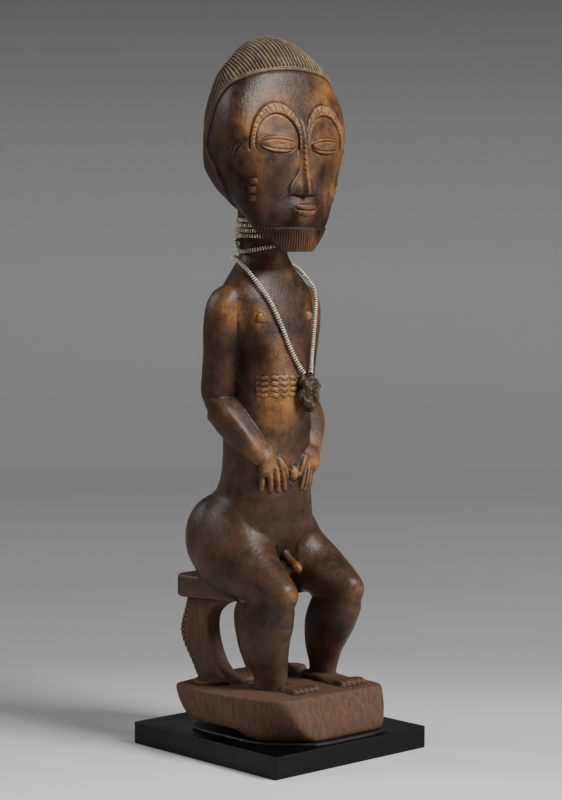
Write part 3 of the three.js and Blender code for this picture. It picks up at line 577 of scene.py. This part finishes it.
# Nose ridge nicked across, its wings set off by grooves, lips parted on a slight mound
MOUTH_X, MOUTH_Z = 1, 415.2
nicks = smooth(ripple(z + 0.8 * across, 4.2, 2 * rough(p, 9, 54)), 0.6, 1)
lift -= face * (x < 3) * (z > 443) * (z < 470) * 0.22 * nicks
_, nose_half, _ = along(NOSE, z).T
wing = face * smooth(z, 428, 430) * (1 - smooth(z, 444, 450))
lift -= wing * (0.7 * hump(x - nose_half - 0.6, 0.8) + 0.5 * hump(x - 4.4, 0.8) * (y < -31))
lift -= face * 0.8 * hump(z - 426.4, 0.8) * (1 - smooth(x, 10, 15))
mx, mz = across - MOUTH_X, z - MOUTH_Z
smile = 0.012 * mx**2  # the lips turn up a little at their ends
lift += face * smooth(-z, -427, -421) * 2.2 * np.exp(-((mx / 18)**2 + (mz / 10)**2)**1.2)
for lip_z, lip_half, lip_high in ((2.4, 11.2, 1.7), (-2.2, 10, 1.6)):
    full = 1 - (mx / lip_half)**2 - ((mz - lip_z - smile) / 2.5)**2
    lift += face * lip_high * np.sqrt(np.clip(full, 0, 1))
lift -= face * 0.9 * hump(mz - smile, 0.5) * (np.abs(mx) < 10.5)
lift += face * (np.abs(mx) < 9) * (mz < -0.8) * (mz > -5) * 0.26 * ripple(mx, 2.1)  # teeth

# Cheeks and temples marked with small flat pads, three large and three small on each cheek
PADS = [  # how far round the head from the nose, level, half width, half height, rise
    (55.5, 437.4, 2.7, 2.2, 1.3), (57, 430.8, 2.8, 2.4, 1.4), (57.8, 424.4, 2.6, 2.2, 1.2),
    (64, 435, 1.6, 1.5, 0.5), (65, 430, 1.6, 1.4, 0.5), (65.5, 425.4, 1.5, 1.3, 0.4)]
round_head = np.arctan2(x, 5 - y) * 50
on_cheek = (z > 418) * (z < 443)
pads = np.zeros(len(p))
for pad_round, pad_z, wide, tall, high in PADS:
    square = np.abs((round_head - pad_round) / wide)**3 + np.abs((z - pad_z) / tall)**3
    pads = np.maximum(pads, high * np.exp(-square) * on_cheek)
    lift -= 0.2 * hump(square**(1 / 3) - 1.35, 0.2) * on_cheek * (y < 5)
lift += pads * (y < 5)
temple = np.hypot((y + 10) / 7, (z - 462 + 0.4 * (y + 10)) / 3)
lift += (x > 50) * (0.6 * np.exp(-temple**4) * smooth(ripple(y + 0.8 * z, 3.6), -0.2, 0.5))

# Belly scars in four rows, square plates round the nipples, a rayed navel, cuts across the fingers
NIPPLE_X, NIPPLE_Z, NAVEL_X, NAVEL_Z = 26, 331, -1, 205.5
round_trunk = np.arctan2(across, 16 - y) * 34
mark_x = np.abs((round_trunk + 2.1 + SCAR_PITCH / 2) % SCAR_PITCH - SCAR_PITCH / 2)
for row in SCAR_ROWS:
    mark_z = z - row + 0.35 * np.sin(round_trunk) - 0.03 * mark_x**2
    mark = np.hypot(mark_x / 3.5, mark_z / 1.6)
    mark = np.where((np.abs(round_trunk + 2) < 32) & (y < 10) & (np.abs(z - row) < 2.4), mark, 9)
    lift += 0.75 * np.exp(-mark**4) - 0.55 * hump(mark - 1.12, 0.16) * (z < row + 0.2)
plate = ((x - NIPPLE_X) / 4.1)**6 + ((z - NIPPLE_Z) / 3.7)**6
chest = (y < 3) & (z < 345)
lift += chest * 0.55 * np.exp(-plate) * (0.8 + 0.7 * rough(p, 2.2, 55))
lift -= chest * 0.15 * hump(plate**(1 / 6) - 1.25, 0.14)
navel = oval(across, z, NAVEL_X, NAVEL_Z, 4.4, 6)
rays = np.cos(np.arctan2(z - NAVEL_Z, across - NAVEL_X) * 7 + 2 * rough(p, 4, 56))
rays = 0.18 * rays * smooth(navel, 0.3, 0.6) - 0.3 * hump(navel - 1.15, 0.16)
lift += (y < -12) * (navel < 1.5) * rays
hand = (z > 188) & (z < 216) & (y < -12) & (x > 7) & (x < 34)
for knuckle in (197.5, 207):
    lift -= 0.12 * hump(z - knuckle - 0.12 * x, 0.8) * hand

# The planks are notched along their back edges and outer faces, in front of a scored line
NOTCH_PITCH = 4.3
back_edge = np.where(across < 0, along(NEAR_BACK, z)[:, 1], along(FAR_BACK, z)[:, 1])
plank_length = smooth(z, 38, 41) * (1 - smooth(z, 92, 95))
notched = smooth(x, 36.5, 37.5) * smooth(y, back_edge - 7.5, back_edge - 6.5)
notched += 0.5 * smooth(y, back_edge - 1.5, back_edge - 0.5)
notches = 0.9 * smooth(ripple(z, NOTCH_PITCH), 0.1, 0.7)
lift -= np.clip(notched, 0, 1) * plank_length * notches
lift -= 0.4 * plank_length * (x > 36) * hump(y - back_edge + 7.8, 0.5)

# Tool work: soft facets from the knife on skin, adze marks and checks on the base, chips along
# its foot. The underside stays flat
body = (z > 36) & (edge < 0)
lift += body * (1 - 0.7 * face) * (0.13 * rough(p * [1, 1, 0.6], 7, 3) + 0.14 * rough(p, 15, 5))
low = 1 - smooth(z, 33, 35)
lift += low * (0.24 * rough(p * [1, 1, 0.3], 5, 7) + 0.35 * rough(p * [1, 1, 0.25], 14, 8))
chips = low * np.maximum(0, rough(p * [1, 1, 0.4], 5, 11) - 0.45)
lift -= 3.0 * chips * (1 - smooth(z, 2, 9)) * (n[:, 2] > -0.6)
lift = np.where((n[:, 2] < -0.8) & (z < 8), 0, lift)
p += n * lift[:, None]
p[:, 2] = np.maximum(p[:, 2], 0)  # across, y and z follow, as parts of p
put(wood_mesh, p)

# What the surface has been through, and painted shade, as values on its points for the wood's
# material: where hands have worn it, and where grime and painted shade darken it, on one side or
# on 2, as rows of (x, y, level, radius, amount)
WORN = {1: [(-44, -17, 440, 14, 0.5), (38, -16, 515, 20, 0.7), (0, -34, 448, 13, 0.7),
        (0, -33, 415, 11, 0.7), (12, -28, 393, 15, 0.55), (40, -20, 430, 16, 0.7),
        (-26, -6, 331, 9, 0.9), (26, -6, 332, 6, 0.8), (-12, -17, 300, 13, 0.8),
        (-13, -20, 262, 22, 1.0), (-14, -20, 282, 18, 0.6), (0, -20, 206, 8, 0.7),
        (-31, -50, 112, 9, 0.3), (37, -55, 110, 9, 0.4), (-30, 20, 150, 26, 0.25),
        (-4, -22, 128, 10, 0.25), (0, -5, 372, 14, 0.4)],
    2: [(25, -28, 497, 15, 1.0), (46, -20, 482, 12, 1.0), (25, -29, 467, 15, 0.7),
        (44, -17, 455, 14, 0.55), (48, 8, 335, 15, 0.75), (20, -17, 213, 13, 0.8),
        (28, -10, 225, 12, 0.7), (46, 12, 255, 12, 0.25)]}
# Grime and painted shade: darker under the mouth and the jaw, below the eyes, down the cheek at -x and
# over the back of the head, round the neck under the jaw, between the arms and the body, on the back, and
# under the thighs and between the legs
GRIME_AND_PAINTED_SHADE = {1: [(0, -34, 405, 13, 1.0), (-48, -6, 435, 30, 0.85), (0, -30, 402, 12, 1.0),
        (0, -25, 490, 8, 0.5), (0, 62, 470, 62, 1.0), (0, -4, 345, 24, 0.25), (8, -17, 238, 18, 0.6),
        (0, 45, 300, 60, 0.5),
        (-30, -2, 95, 30, 0.55), (36, -6, 95, 30, 0.45), (0, 0, 160, 24, 0.5)],
    2: [(15, -33, 405, 14, 1.0), (30, -26, 405, 14, 1.0), (43, -14, 408, 17, 1.0),
        (24, -27, 448, 11, 0.9), (58, 2, 428, 28, 0.6), (20, -28, 402, 13, 1.0), (14, -30, 425, 8, 0.6),
        (60, 12, 460, 16, 0.6), (33, 0, 300, 22, 0.85), (30, 22, 395, 22, 0.9)]}


def patches(rows, p, fall):
    """The highest of soft round patches at each point."""
    value = np.zeros(len(p))
    for side, on_sides in ((1, rows[1]), (1, rows[2]), (-1, rows[2])):
        for *middle, radius, amount in on_sides:
            gone = np.linalg.norm(p - np.array(middle) * [side, 1, 1], axis=1) / radius
            value = np.maximum(value, amount * np.exp(-gone**2 * fall))
    return value


hollow = np.sum((eased(wood, 9) - p) * normals(wood_mesh), axis=1)
lips = (y < -29) * (np.abs(mx) < 11) * (np.abs(mz) < 5)
shown = np.maximum.reduce([0.65 * band, 0.4 * pads, 0.35 * face * (opening < 1.05),
                           0.3 * face * lips, 0.3 * hand])
worn = patches(WORN, p, 0.9) * np.clip(0.85 + 0.6 * rough(p, 7, 21) + 0.3 * rough(p, 2.5, 22), 0.1, 1.3)
worn = np.maximum(worn, shown * np.clip(0.55 + 0.8 * rough(p, 3.5, 24), 0, 1))
# Grime with painted shade, less where raised features are worn bare
grime_and_painted_shade = patches(GRIME_AND_PAINTED_SHADE, p, 0.8) * np.clip(0.9 + 0.5 * rough(p, 9, 23), 0.2, 1.2) * (1 - 0.8 * shown)
dry = np.maximum.reduce([1 - smooth(z - base_top(across, y), 0.6, 1.6), 0.65 * (1 - smooth(z, 42, 56)),
                         0.75 * (y > 18) * (1 - smooth(z, 96, 121))])
hair = smooth(edge, -0.2, 0.4) * (1 - 0.85 * smooth(behind, -1, 4))
hair *= (0.12 + 0.88 * smooth(z, 490, 522)) * (0.6 + 0.4 * smooth(edge, 2.2, 3.2))


def note(mesh, name, values):
    """Keeps a value for each point of a mesh, for its material to read."""
    layer = mesh.attributes.new(name, "FLOAT", "POINT")
    layer.data.foreach_set("value", np.ascontiguousarray(values, dtype=np.float32))


note(wood_mesh, "worn", np.clip(worn, 0, 1))
note(wood_mesh, "grime_and_painted_shade", np.clip(grime_and_painted_shade, 0, 1))
note(wood_mesh, "hollow", np.clip(hollow / 0.12, -1, 1))
note(wood_mesh, "hair", hair)
note(wood_mesh, "rib_number", np.where(bearded > 0.01, rib, number) + 100)
note(wood_mesh, "ribbed", np.clip(ridged + 0.6 * bearded, 0, 1))
note(wood_mesh, "dry", dry)
thin = wood.modifiers.new("thin", "DECIMATE")
thin.ratio = min(1.0, MOST_TRIANGLES / (2 * len(wood_mesh.polygons)))
thin.use_collapse_triangulate = True
wood_mesh = settle(wood)
wood_mesh.shade_smooth()


def srgb(code):
    """A hex colour as linear red, green, blue and alpha."""
    parts = [int(code[i:i + 2], 16) / 255 for i in (1, 3, 5)]
    return tuple(c / 12.92 if c <= 0.04045 else ((c + 0.055) / 1.055)**2.4 for c in parts) + (1.0,)


def feed(made, **inputs):
    """Sets a node's inputs, by name or as i and a number, to values or hex colours, or links
    sockets in."""
    for key, value in inputs.items():
        numbered = key[0] == "i" and key[1:].isdigit()
        socket = made.inputs[int(key[1:]) if numbered else key.replace("_", " ")]
        if isinstance(value, bpy.types.NodeSocket):
            made.id_data.links.new(value, socket)
        else:
            socket.default_value = srgb(value) if isinstance(value, str) else value


def node(kind, out=0, settings=None, **inputs):
    """Adds a node to tree and gives its output out. settings are its own fields, inputs as in
    feed()."""
    made = tree.nodes.new("ShaderNode" + kind)
    for key, value in (settings or {}).items():
        setattr(made, key, value)
    feed(made, **inputs)
    return made.outputs[out]


def finish_of(name):
    """A new material and its shader. Nodes go into its tree until the next one is made."""
    global tree
    material = bpy.data.materials.new(name)
    material.use_nodes = True
    tree = material.node_tree
    tree.nodes.clear()
    shader = tree.nodes.new("ShaderNodeBsdfPrincipled")
    feed(tree.nodes.new("ShaderNodeOutputMaterial"), Surface=shader.outputs[0])
    return material, shader


# Oiled hardwood: warm where handled, dry and dusty on the base, painted shade nearly black in the hollows,
# grime with painted shade under the jaw and between the limbs. A pattern's Scale is 1000 over its size in
# millimetres. Real pores and fibres are several times finer than these and wouldn't show
COLOURS, TIMES, PLUS = {"data_type": "RGBA"}, {"operation": "MULTIPLY"}, {"operation": "ADD"}
oiled_wood, shader = finish_of("oiled_hardwood")
place = node("TexCoord", "Object")
grain_way = node("Mapping", Vector=place, Scale=(1, 1, 0.08))  # the fibres run upright
worn_at, grime_and_painted_shade_at, hollow_at, hair_at, rib_at, ribbed_at, dry_at = (
    node("Attribute", "Fac", {"attribute_name": kept})
    for kept in ("worn", "grime_and_painted_shade", "hollow", "hair", "rib_number", "ribbed", "dry"))
blotch = node("TexNoise", Vector=place, Scale=1000 / 26, Detail=4.0, Roughness=0.6)
stain = node("TexNoise", Vector=place, Scale=1000 / 7, Detail=4.0, Roughness=0.65)
lumps = node("TexNoise", Vector=place, Scale=1000 / 3.5, Detail=3.0, Roughness=0.6)
speck = node("TexNoise", Vector=place, Scale=1000 / 1.1, Detail=2.0, Roughness=0.7)
pores = node("TexNoise", Vector=place, Scale=1000 / 0.9, Detail=2.0, Roughness=0.7)
fibre = node("TexNoise", Vector=grain_way, Scale=1000 / 1.5, Detail=3.0, Roughness=0.65)
weather = node("TexNoise", Vector=grain_way, Scale=1000 / 2, Detail=5.0, Roughness=0.7)

patchy = node("MapRange", Value=blotch, From_Min=0.32, From_Max=0.68)
stained = node("MapRange", Value=stain, From_Min=0.42, From_Max=0.8, To_Max=0.5)
raised = node("MapRange", Value=hollow_at, From_Min=-0.15, From_Max=-0.8)
# painted shade, nearly black, wherever the skin is sunk below its rubbed-down form
painted_hollow_shade = node("MapRange", Value=hollow_at, From_Min=0.15, From_Max=0.75)
uneven = node("MapRange", Value=stain, From_Min=0.3, From_Max=0.6, To_Min=0.5, To_Max=1.15)
rubbed = node("Math", 0, PLUS, i0=node("Math", 0, TIMES, i0=worn_at, i1=uneven),
              i1=node("Math", 0, TIMES, i0=raised, i1=0.35))
across_rib = node("Math", 0, {"operation": "PINGPONG"}, i0=rib_at, i1=0.5)
groove = node("Math", 0, TIMES, i0=ribbed_at,
              i1=node("MapRange", Value=across_rib, From_Min=0.1, From_Max=0.3))
streaked = node("MapRange", Value=weather, From_Min=0.28, From_Max=0.72)
bleached = node("MapRange", Value=stain, From_Min=0.35, From_Max=0.7)
open_pores = node("MapRange", Value=pores, From_Min=0.62, From_Max=0.7)

# Its colours lie one over another, each with how much it covers
colour = node("Mix", 2, COLOURS, i0=patchy, i6="#1d130d", i7="#4f3523")
for amount, layer in [
        (stained, "#654323"),
        (node("MapRange", Value=rubbed, From_Min=0.08, From_Max=0.95, To_Max=0.85),
         node("Mix", 2, COLOURS, i0=speck, i6="#7a4e27", i7="#b87f47")),
        # grime with painted shade, near black
        (node("Math", 0, TIMES, i0=grime_and_painted_shade_at, i1=0.96), "#140d09"),
        (hair_at, node("Mix", 2, COLOURS, i0=bleached, i6="#6a5843", i7="#9c876a")),
        (node("Math", 0, TIMES, i0=groove, i1=0.85),
         node("Mix", 2, COLOURS, i0=hair_at, i6="#26170e", i7="#2e2117")),
        (dry_at, node("Mix", 2, COLOURS, i0=streaked, i6="#38281e", i7="#674a35")),
        (node("Math", 0, TIMES, i0=open_pores, i1=0.45), "#1a110c"),
        # painted shade in the hollows
        (node("Math", 0, TIMES, i0=painted_hollow_shade, i1=0.85), "#100a06")]:
    colour = node("Mix", 2, COLOURS, i0=amount, i6=colour, i7=layer)
shade = node("MapRange", Value=fibre, From_Min=0.3, From_Max=0.7, To_Min=0.88, To_Max=1.1)
grey = node("CombineColor", Red=shade, Green=shade, Blue=shade)
colour = node("Mix", 2, {**COLOURS, "blend_type": "MULTIPLY"}, i0=1.0, i6=colour, i7=grey)

oiled = node("MapRange", Value=stain, From_Min=0.3, From_Max=0.7, To_Min=0.34, To_Max=0.46)
grain = node("Math", 0, PLUS, i0=node("Math", 0, PLUS, i0=fibre, i1=lumps), i1=speck)
relief = node("Bump", Height=grain, Strength=0.45, Distance=0.0005)
relief = node("Bump", 0, {"invert": True}, Height=groove, Strength=0.6, Distance=0.0005, Normal=relief)
feed(shader, Base_Color=colour, Roughness=node("Mix", i0=dry_at, i2=oiled, i3=0.8), IOR=1.45,
     Specular_IOR_Level=node("Mix", i0=grime_and_painted_shade_at, i2=0.42, i3=0.1), Normal=relief)
wood.data.materials.append(oiled_wood)
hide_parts("figure")
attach(wood, "root")

# ---------------------------------------------------------------- The coil of beads
# Small pale glass beads on one thread, wound four times close round the neck, dropped at the
# back and taken round once more, slack. Dirt has settled between them.
BEAD_PITCH = 2.05  # one bead and the gap behind it, along the thread
BEAD_END = 0.62  # a bead's flat end over its girdle


def thread(stops):
    """Places one bead apart on a smooth course, and the direction of the thread at each."""
    table = np.column_stack([np.arange(len(stops)), np.array(stops, float)])
    line = along(table, np.linspace(0, len(stops) - 1, 40 * len(stops)))[:, 1:]
    run = np.concatenate([[0], np.cumsum(np.linalg.norm(np.diff(line, axis=0), axis=1))])
    count = int(round(run[-1] / BEAD_PITCH))
    middles = np.linspace(0, run[-1], count + 1)[:-1] + run[-1] / count / 2
    at = np.column_stack([np.interp(middles, run, line[:, k]) for k in range(3)])
    ahead = np.gradient(at, axis=0)
    return at, ahead / np.linalg.norm(ahead, axis=1)[:, None]


def string_of_beads(name, stops, node_name, material, seed):
    """One piece: every bead a short, rounded drum, each a little different."""
    dice = np.random.default_rng(seed)
    one = bmesh.new()
    bmesh.ops.create_cone(one, cap_ends=True, segments=12, radius1=BEAD_R * BEAD_END,
                          radius2=BEAD_R * BEAD_END, depth=BEAD_PITCH * 0.74)
    upright = [e for e in one.edges if abs(e.verts[0].co.z - e.verts[1].co.z) > 0.1]
    bmesh.ops.subdivide_edges(one, edges=upright, cuts=2)
    ends = np.array([abs(v.co.z) > BEAD_PITCH * 0.3 for v in one.verts], float)
    girdle = [v for v in one.verts if abs(v.co.z) < BEAD_PITCH * 0.25]
    bmesh.ops.scale(one, verts=girdle, vec=(1 / BEAD_END, 1 / BEAD_END, 1.15))
    beads = bmesh.new()
    for middle, way in zip(*thread(stops)):
        bead = bpy.data.meshes.new("bead")
        one.to_mesh(bead)
        tilt = way + dice.normal(0, 0.05, 3)
        tilt /= np.linalg.norm(tilt)
        side = np.cross(tilt, [0.3, 0.2, 0.93] if abs(tilt[2]) < 0.9 else [1, 0, 0])
        side /= np.linalg.norm(side)
        size = dice.uniform(0.93, 1.02)
        turn = np.eye(4)
        turn[:3, 0], turn[:3, 1] = side * size / 1000, np.cross(tilt, side) * size / 1000
        turn[:3, 2], turn[:3, 3] = tilt * dice.uniform(0.9, 1.04) / 1000, (middle + FOOT) / 1000
        bead.transform(mathutils.Matrix(turn.tolist()))
        note(bead, "tone", np.full(len(bead.vertices), dice.uniform(0, 1)))
        note(bead, "rim", ends)
        beads.from_mesh(bead)
        bpy.data.meshes.remove(bead)
    one.free()
    bmesh.ops.recalc_face_normals(beads, faces=beads.faces)
    obj = add_object(name, beads)
    obj.data.shade_smooth()
    obj.data.materials.append(material)
    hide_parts(node_name)
    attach(obj, "root")


def bead_glass(name, pale, deep, dirt, soil):
    """Opaque drawn glass: chalky, each bead its own tone, with dirt in the hollows."""
    material, shader = finish_of(name)
    tone, rim = (node("Attribute", "Fac", {"attribute_name": kept}) for kept in ("tone", "rim"))
    patchy = node("TexNoise", Vector=node("TexCoord", "Object"), Scale=1000 / 2.2, Detail=3.0,
                  Roughness=0.7)
    soiled = node("MapRange", Value=patchy, From_Min=soil, From_Max=soil + 0.16, To_Max=0.8)
    colour = node("Mix", 2, COLOURS, i0=tone, i6=deep, i7=pale)
    for amount in (soiled, rim):
        colour = node("Mix", 2, COLOURS, i0=amount, i6=colour, i7=dirt)
    dulled = node("MapRange", Value=patchy, From_Min=0.3, From_Max=0.7, To_Min=0.38, To_Max=0.7)
    feed(shader, Base_Color=colour, Roughness=dulled, IOR=1.52)
    return material


# The coil starts at an angle COIL_FROM and level COIL_TOP and falls COIL_RISE a turn; SLACK is
# [angle, level] of the loose turn
COIL_TOP, COIL_RISE, COIL_FROM = 408.5, 4.15, 137
coil_radius = NECK_R + BEAD_R + 0.65
coil_end = COIL_FROM + 4 * 360
SLACK = [[coil_end - 1, COIL_TOP - 4 * COIL_RISE], [coil_end + 18, 386], [coil_end + 34, 383],
         [coil_end + 60, 383.4], [coil_end + 133, 388], [coil_end + 223, 387.4], [coil_end + 346, 386]]
turns = np.concatenate([np.linspace(COIL_FROM, coil_end, 61),
                        np.linspace(coil_end + 8, coil_end + 344, 29)])
coil_z = np.where(turns <= coil_end, COIL_TOP - COIL_RISE * (turns - COIL_FROM) / 360,
                  along(SLACK, turns)[:, 1])
coil = np.column_stack([coil_radius * np.cos(np.radians(turns)),
                        NECK_Y + coil_radius * np.sin(np.radians(turns)), coil_z])
collar_glass = bead_glass("collar_bead_glass", "#ebdfc0", "#ab9870", "#241a11", 0.5)
string_of_beads("choker_beads_strung", coil, "choker_beads", collar_glass, 4)

# ---------------------------------------------------------------- The long string
# The same beads, cleaner, over both shoulders and down to the pendant. The points are where it
# lies on the wood, from one end at the pendant round the neck to the other.
LONG = [
    [7, -20.4, 285.2], [2, -18, 293.3], [-4.6, -15.7, 306.8], [-9, -13.2, 319.6], [-13.6, -10.8, 331.6],
    [-17.2, -8, 341.2], [-21.6, -5, 350], [-26, -1.4, 357.6], [-28.2, 5, 365], [-27.8, 14, 371.6],
    [-25.6, 24.2, 376.2], [-22, 33.4, 378.4], [-13, 41.6, 378.2], [0, 45.2, 377.4], [13, 41.8, 376.6],
    [22.4, 33.6, 375.8], [27, 24.2, 373.6], [29.2, 12.8, 369.6], [29.6, 4, 363.5], [34, -1, 355],
    [38.5, 0.5, 346], [40, 2, 336], [34, -2.8, 322.5], [27.6, -8.2, 309], [21, -13.6, 296],
    [14, -20.4, 285.2]]
string_glass = bead_glass("string_bead_glass", "#fbf5e2", "#d8caa6", "#2c2013", 0.56)
string_of_beads("necklace_beads_strung", LONG, "necklace_beads", string_glass, 9)

# ---------------------------------------------------------------- The pendant
# A small lump of bronze, cast and left rough, that hangs where the ends of the long string meet.
# Its pits are full of dirt.
PENDANT = [  # level, middle x, half width, half depth
    [254.5, 12, 2.5, 2.5], [258, 11.5, 6, 4.6], [264, 10.5, 8.4, 5.8], [270, 10.5, 9.8, 6],
    [276, 11, 9.4, 5.6], [281, 10.5, 7.4, 4.2], [283.4, 10.4, 5, 2.6]]
PENDANT_Y, PENDANT_FOOT, PENDANT_TOP = -21.2, 254.5, 283.4
lump = bmesh.new()


def casting(t, a):
    z, end = levels(t, PENDANT_FOOT, PENDANT_TOP, 0.1)
    _, middle, half, deep = along(PENDANT, z).T
    ring = (z - PENDANT_FOOT) / 4.8
    lobed = 1 + 0.12 * np.sin(3 * a + 1.9 * ring) + 0.06 * np.sin(5 * a - 2.3 * ring)
    y = PENDANT_Y + deep * np.where(np.sin(a) > 0, 0.9, lobed) * end * np.sin(a)
    return np.column_stack([middle + half * lobed * end * np.cos(a), y, z])


mass(casting, 110, 120, lump)
lump.normal_update()
p = np.array([v.co[:] for v in lump.verts])
n = np.array([v.normal[:] for v in lump.verts])
crust = 1.1 * rough(p, 3.6, 41) + 0.7 * rough(p, 1.7, 42) - 0.7 * np.maximum(0, rough(p, 2.6, 43) - 0.2)
crust = np.where(p[:, 1] > -17, 0.2 * crust, crust)
for vert, co in zip(lump.verts, (p + n * crust[:, None] + FOOT) / 1000):
    vert.co = co
pendant = add_object("pendant_casting", lump)
pendant.data.shade_smooth()
note(pendant.data, "pit", np.clip(0.5 - crust * 0.5, 0, 1))
# Crusted bronze: olive and half metallic where it is rubbed, brown black in the pits
crusted_bronze, shader = finish_of("crusted_bronze")
flecks = node("TexNoise", Vector=node("TexCoord", "Object"), Scale=1000 / 1.5, Detail=4.0, Roughness=0.7)
bare = node("Mix", 2, COLOURS, i0=flecks, i6="#251f13", i7="#6f603b")
pit_at = node("Attribute", "Fac", {"attribute_name": "pit"})
feed(shader, Base_Color=node("Mix", 2, COLOURS, i0=pit_at, i6=bare, i7="#17130c"), Metallic=0.45,
     Roughness=node("MapRange", Value=flecks, From_Min=0.3, From_Max=0.7, To_Min=0.4, To_Max=0.75),
     Normal=node("Bump", Height=flecks, Strength=0.6, Distance=0.0004))
pendant.data.materials.append(crusted_bronze)
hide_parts("pendant")
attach(pendant, "root")

# ---------------------------------------------------------------- The fitted pad
# A thin black pad between wood and plinth, poured to the wood's uneven foot so that it stands
# upright, with a soft rounded rim. Its mesh is the CAD node's own.
bed_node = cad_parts["mount_bed"]
# Matt black resin: a dull sheen, greyed a little by dust
pad_black, shader = finish_of("matt_black_pad")
dust = node("TexNoise", Vector=node("TexCoord", "Object"), Scale=1000 / 3, Detail=4.0, Roughness=0.6)
feed(shader, Base_Color=node("Mix", 2, COLOURS, i0=dust, i6="#060606", i7="#191817"),
     Roughness=node("MapRange", Value=dust, From_Min=0.3, From_Max=0.7, To_Min=0.45, To_Max=0.65))
bed_node.data.materials.clear()
bed_node.data.materials.append(pad_black)

# ---------------------------------------------------------------- The plinth
# A flat square block with small rounded edges, spray lacquered. The pad is stuck on its top and
# the figure stands in the pad.
low_corner, high_corner = (np.array(corner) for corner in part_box("plinth"))
slab = bmesh.new()
bmesh.ops.create_cube(slab, size=1)
bmesh.ops.scale(slab, verts=slab.verts, vec=high_corner - low_corner)
bmesh.ops.translate(slab, verts=slab.verts, vec=(high_corner + low_corner) / 2)
bmesh.ops.bevel(slab, geom=slab.edges[:], offset=0.0009, offset_type="OFFSET", segments=3, profile=0.5,
                affect="EDGES", material=-1)
plinth = add_object("plinth_block", slab)
# Satin black lacquer: faint soft reflections, cloudy with dust, and the peel of sprayed paint
lacquer, shader = finish_of("satin_black_lacquer")
place = node("TexCoord", "Object")
cloudy = node("TexNoise", Vector=place, Scale=1000 / 30, Detail=5.0, Roughness=0.6)
peel = node("TexNoise", Vector=place, Scale=1000 / 1.4, Detail=2.0, Roughness=0.5)
feed(shader, Base_Color=node("Mix", 2, COLOURS, i0=cloudy, i6="#030303", i7="#090909"),
     Roughness=node("MapRange", Value=cloudy, From_Min=0.3, From_Max=0.7, To_Min=0.28, To_Max=0.42),
     Specular_IOR_Level=0.2, Normal=node("Bump", Height=peel, Strength=0.12, Distance=0.0002))
plinth.data.materials.append(lacquer)
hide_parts("plinth")
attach(plinth, "root")

# ---------------------------------------------------------------- Room, light and camera
# A round studio: a pale floor that sweeps up into the wall with no corner between them, painted with a
# pool of light near the figure and with shade darkening up the wall, a large soft light above right,
# weaker ones low right, left and behind, and the camera where it first stood. The sweep is [metres from
# the middle, height].
SWEEP = [[0, 0], [1.0, 0], [1.9, 0], [2.25, 0.03], [2.6, 0.15], [2.9, 0.42], [3.05, 0.8], [3.1, 1.3],
         [3.1, 3.2]]
sweep = bmesh.new()
profile = along([[k, *row] for k, row in enumerate(SWEEP)], np.linspace(0, len(SWEEP) - 1, 49))[:, 1:]
line = [sweep.verts.new((r, 0, max(0, h))) for r, h in profile]
edges = [sweep.edges.new(pair) for pair in zip(line, line[1:])]
bmesh.ops.spin(sweep, geom=line + edges, cent=(0, 0, 0), axis=(0, 0, 1), angle=2 * math.pi, steps=96,
               use_merge=True)
bmesh.ops.remove_doubles(sweep, verts=sweep.verts, dist=0.0001)
bmesh.ops.recalc_face_normals(sweep, faces=sweep.faces)
floor = add_object("floor", sweep)
if floor.data.polygons[0].normal.z < 0:
    floor.data.flip_normals()
floor.data.shade_smooth()
# Middle of the pool of light painted on the floor
LIGHT_POOL_MIDDLE = (-0.31, -0.34, 0)  # the floor is palest here, left of the figure
# Matt paper: no gloss, a painted pool of light near the figure and painted shade darker up the wall
paper, shader = finish_of("studio_paper")
place = node("TexCoord", "Object")
reach = node("VectorMath", "Value", {"operation": "DISTANCE"}, i0=place, i1=LIGHT_POOL_MIDDLE)
colour = "#dfdfdf"
for value, near, far, tone in [(reach, 0.35, 0.85, "#9c9c9c"), (reach, 1.3, 2.5, "#bfbfbf"),
                               (node("SeparateXYZ", 2, Vector=place), 0.35, 1.05, "#7f7f7f")]:
    colour = node("Mix", 2, COLOURS, i6=colour, i7=tone,
                  i0=node("MapRange", Value=value, From_Min=near, From_Max=far))
feed(shader, Base_Color=colour, Roughness=0.9)
floor.data.materials.append(paper)

world = bpy.data.worlds.new("room")
bpy.context.scene.world = world
world.use_nodes = True
feed(world.node_tree.nodes["Background"], Color="#8c8c8c", Strength=0.3)

EYE = (-1.177157, -1.286205, 0.405289)  # the camera's place, in metres
LOOK_TURN, LOOK_DOWN = math.radians(-42.516), math.radians(4)
FOCAL_LENGTH, SENSOR_WIDTH = 97.13, 36

# Soft rectangular lamps: place, the point they face, width and height in metres, power in watts
for name, place, target, width, height, power in [
        ("key_above_right", (0.45, -1.5, 1.6), (0, 0, 0.36), 0.7, 0.7, 64),
        ("fill_low_right", (1.0, -1.25, 0.5), (0, 0, 0.33), 0.5, 0.5, 3.5),
        ("fill_left", (-1.5, -0.3, 1.1), (0, 0, 0.35), 0.4, 1.4, 3.5),
        ("rim_back", (-0.9, 1.2, 1.3), (0, 0, 0.35), 0.7, 0.9, 12)]:
    lamp = bpy.data.lights.new(name, "AREA")
    lamp.shape = "RECTANGLE"
    lamp.size, lamp.size_y, lamp.energy = width, height, power
    obj = add_object(name, lamp)
    obj.location = place
    way = np.array(target) - np.array(place)
    tilt, turn = math.acos(-way[2] / np.linalg.norm(way)), math.atan2(way[0], -way[1]) + math.pi
    obj.rotation_euler = (tilt, 0, turn)

lens = bpy.data.cameras.new("camera")
lens.lens = FOCAL_LENGTH
lens.sensor_width = SENSOR_WIDTH
lens.sensor_fit = "AUTO"
camera = add_object("camera", lens)
camera.location = EYE
camera.rotation_euler = (math.pi / 2 - LOOK_DOWN, 0, LOOK_TURN)
bpy.context.scene.camera = camera
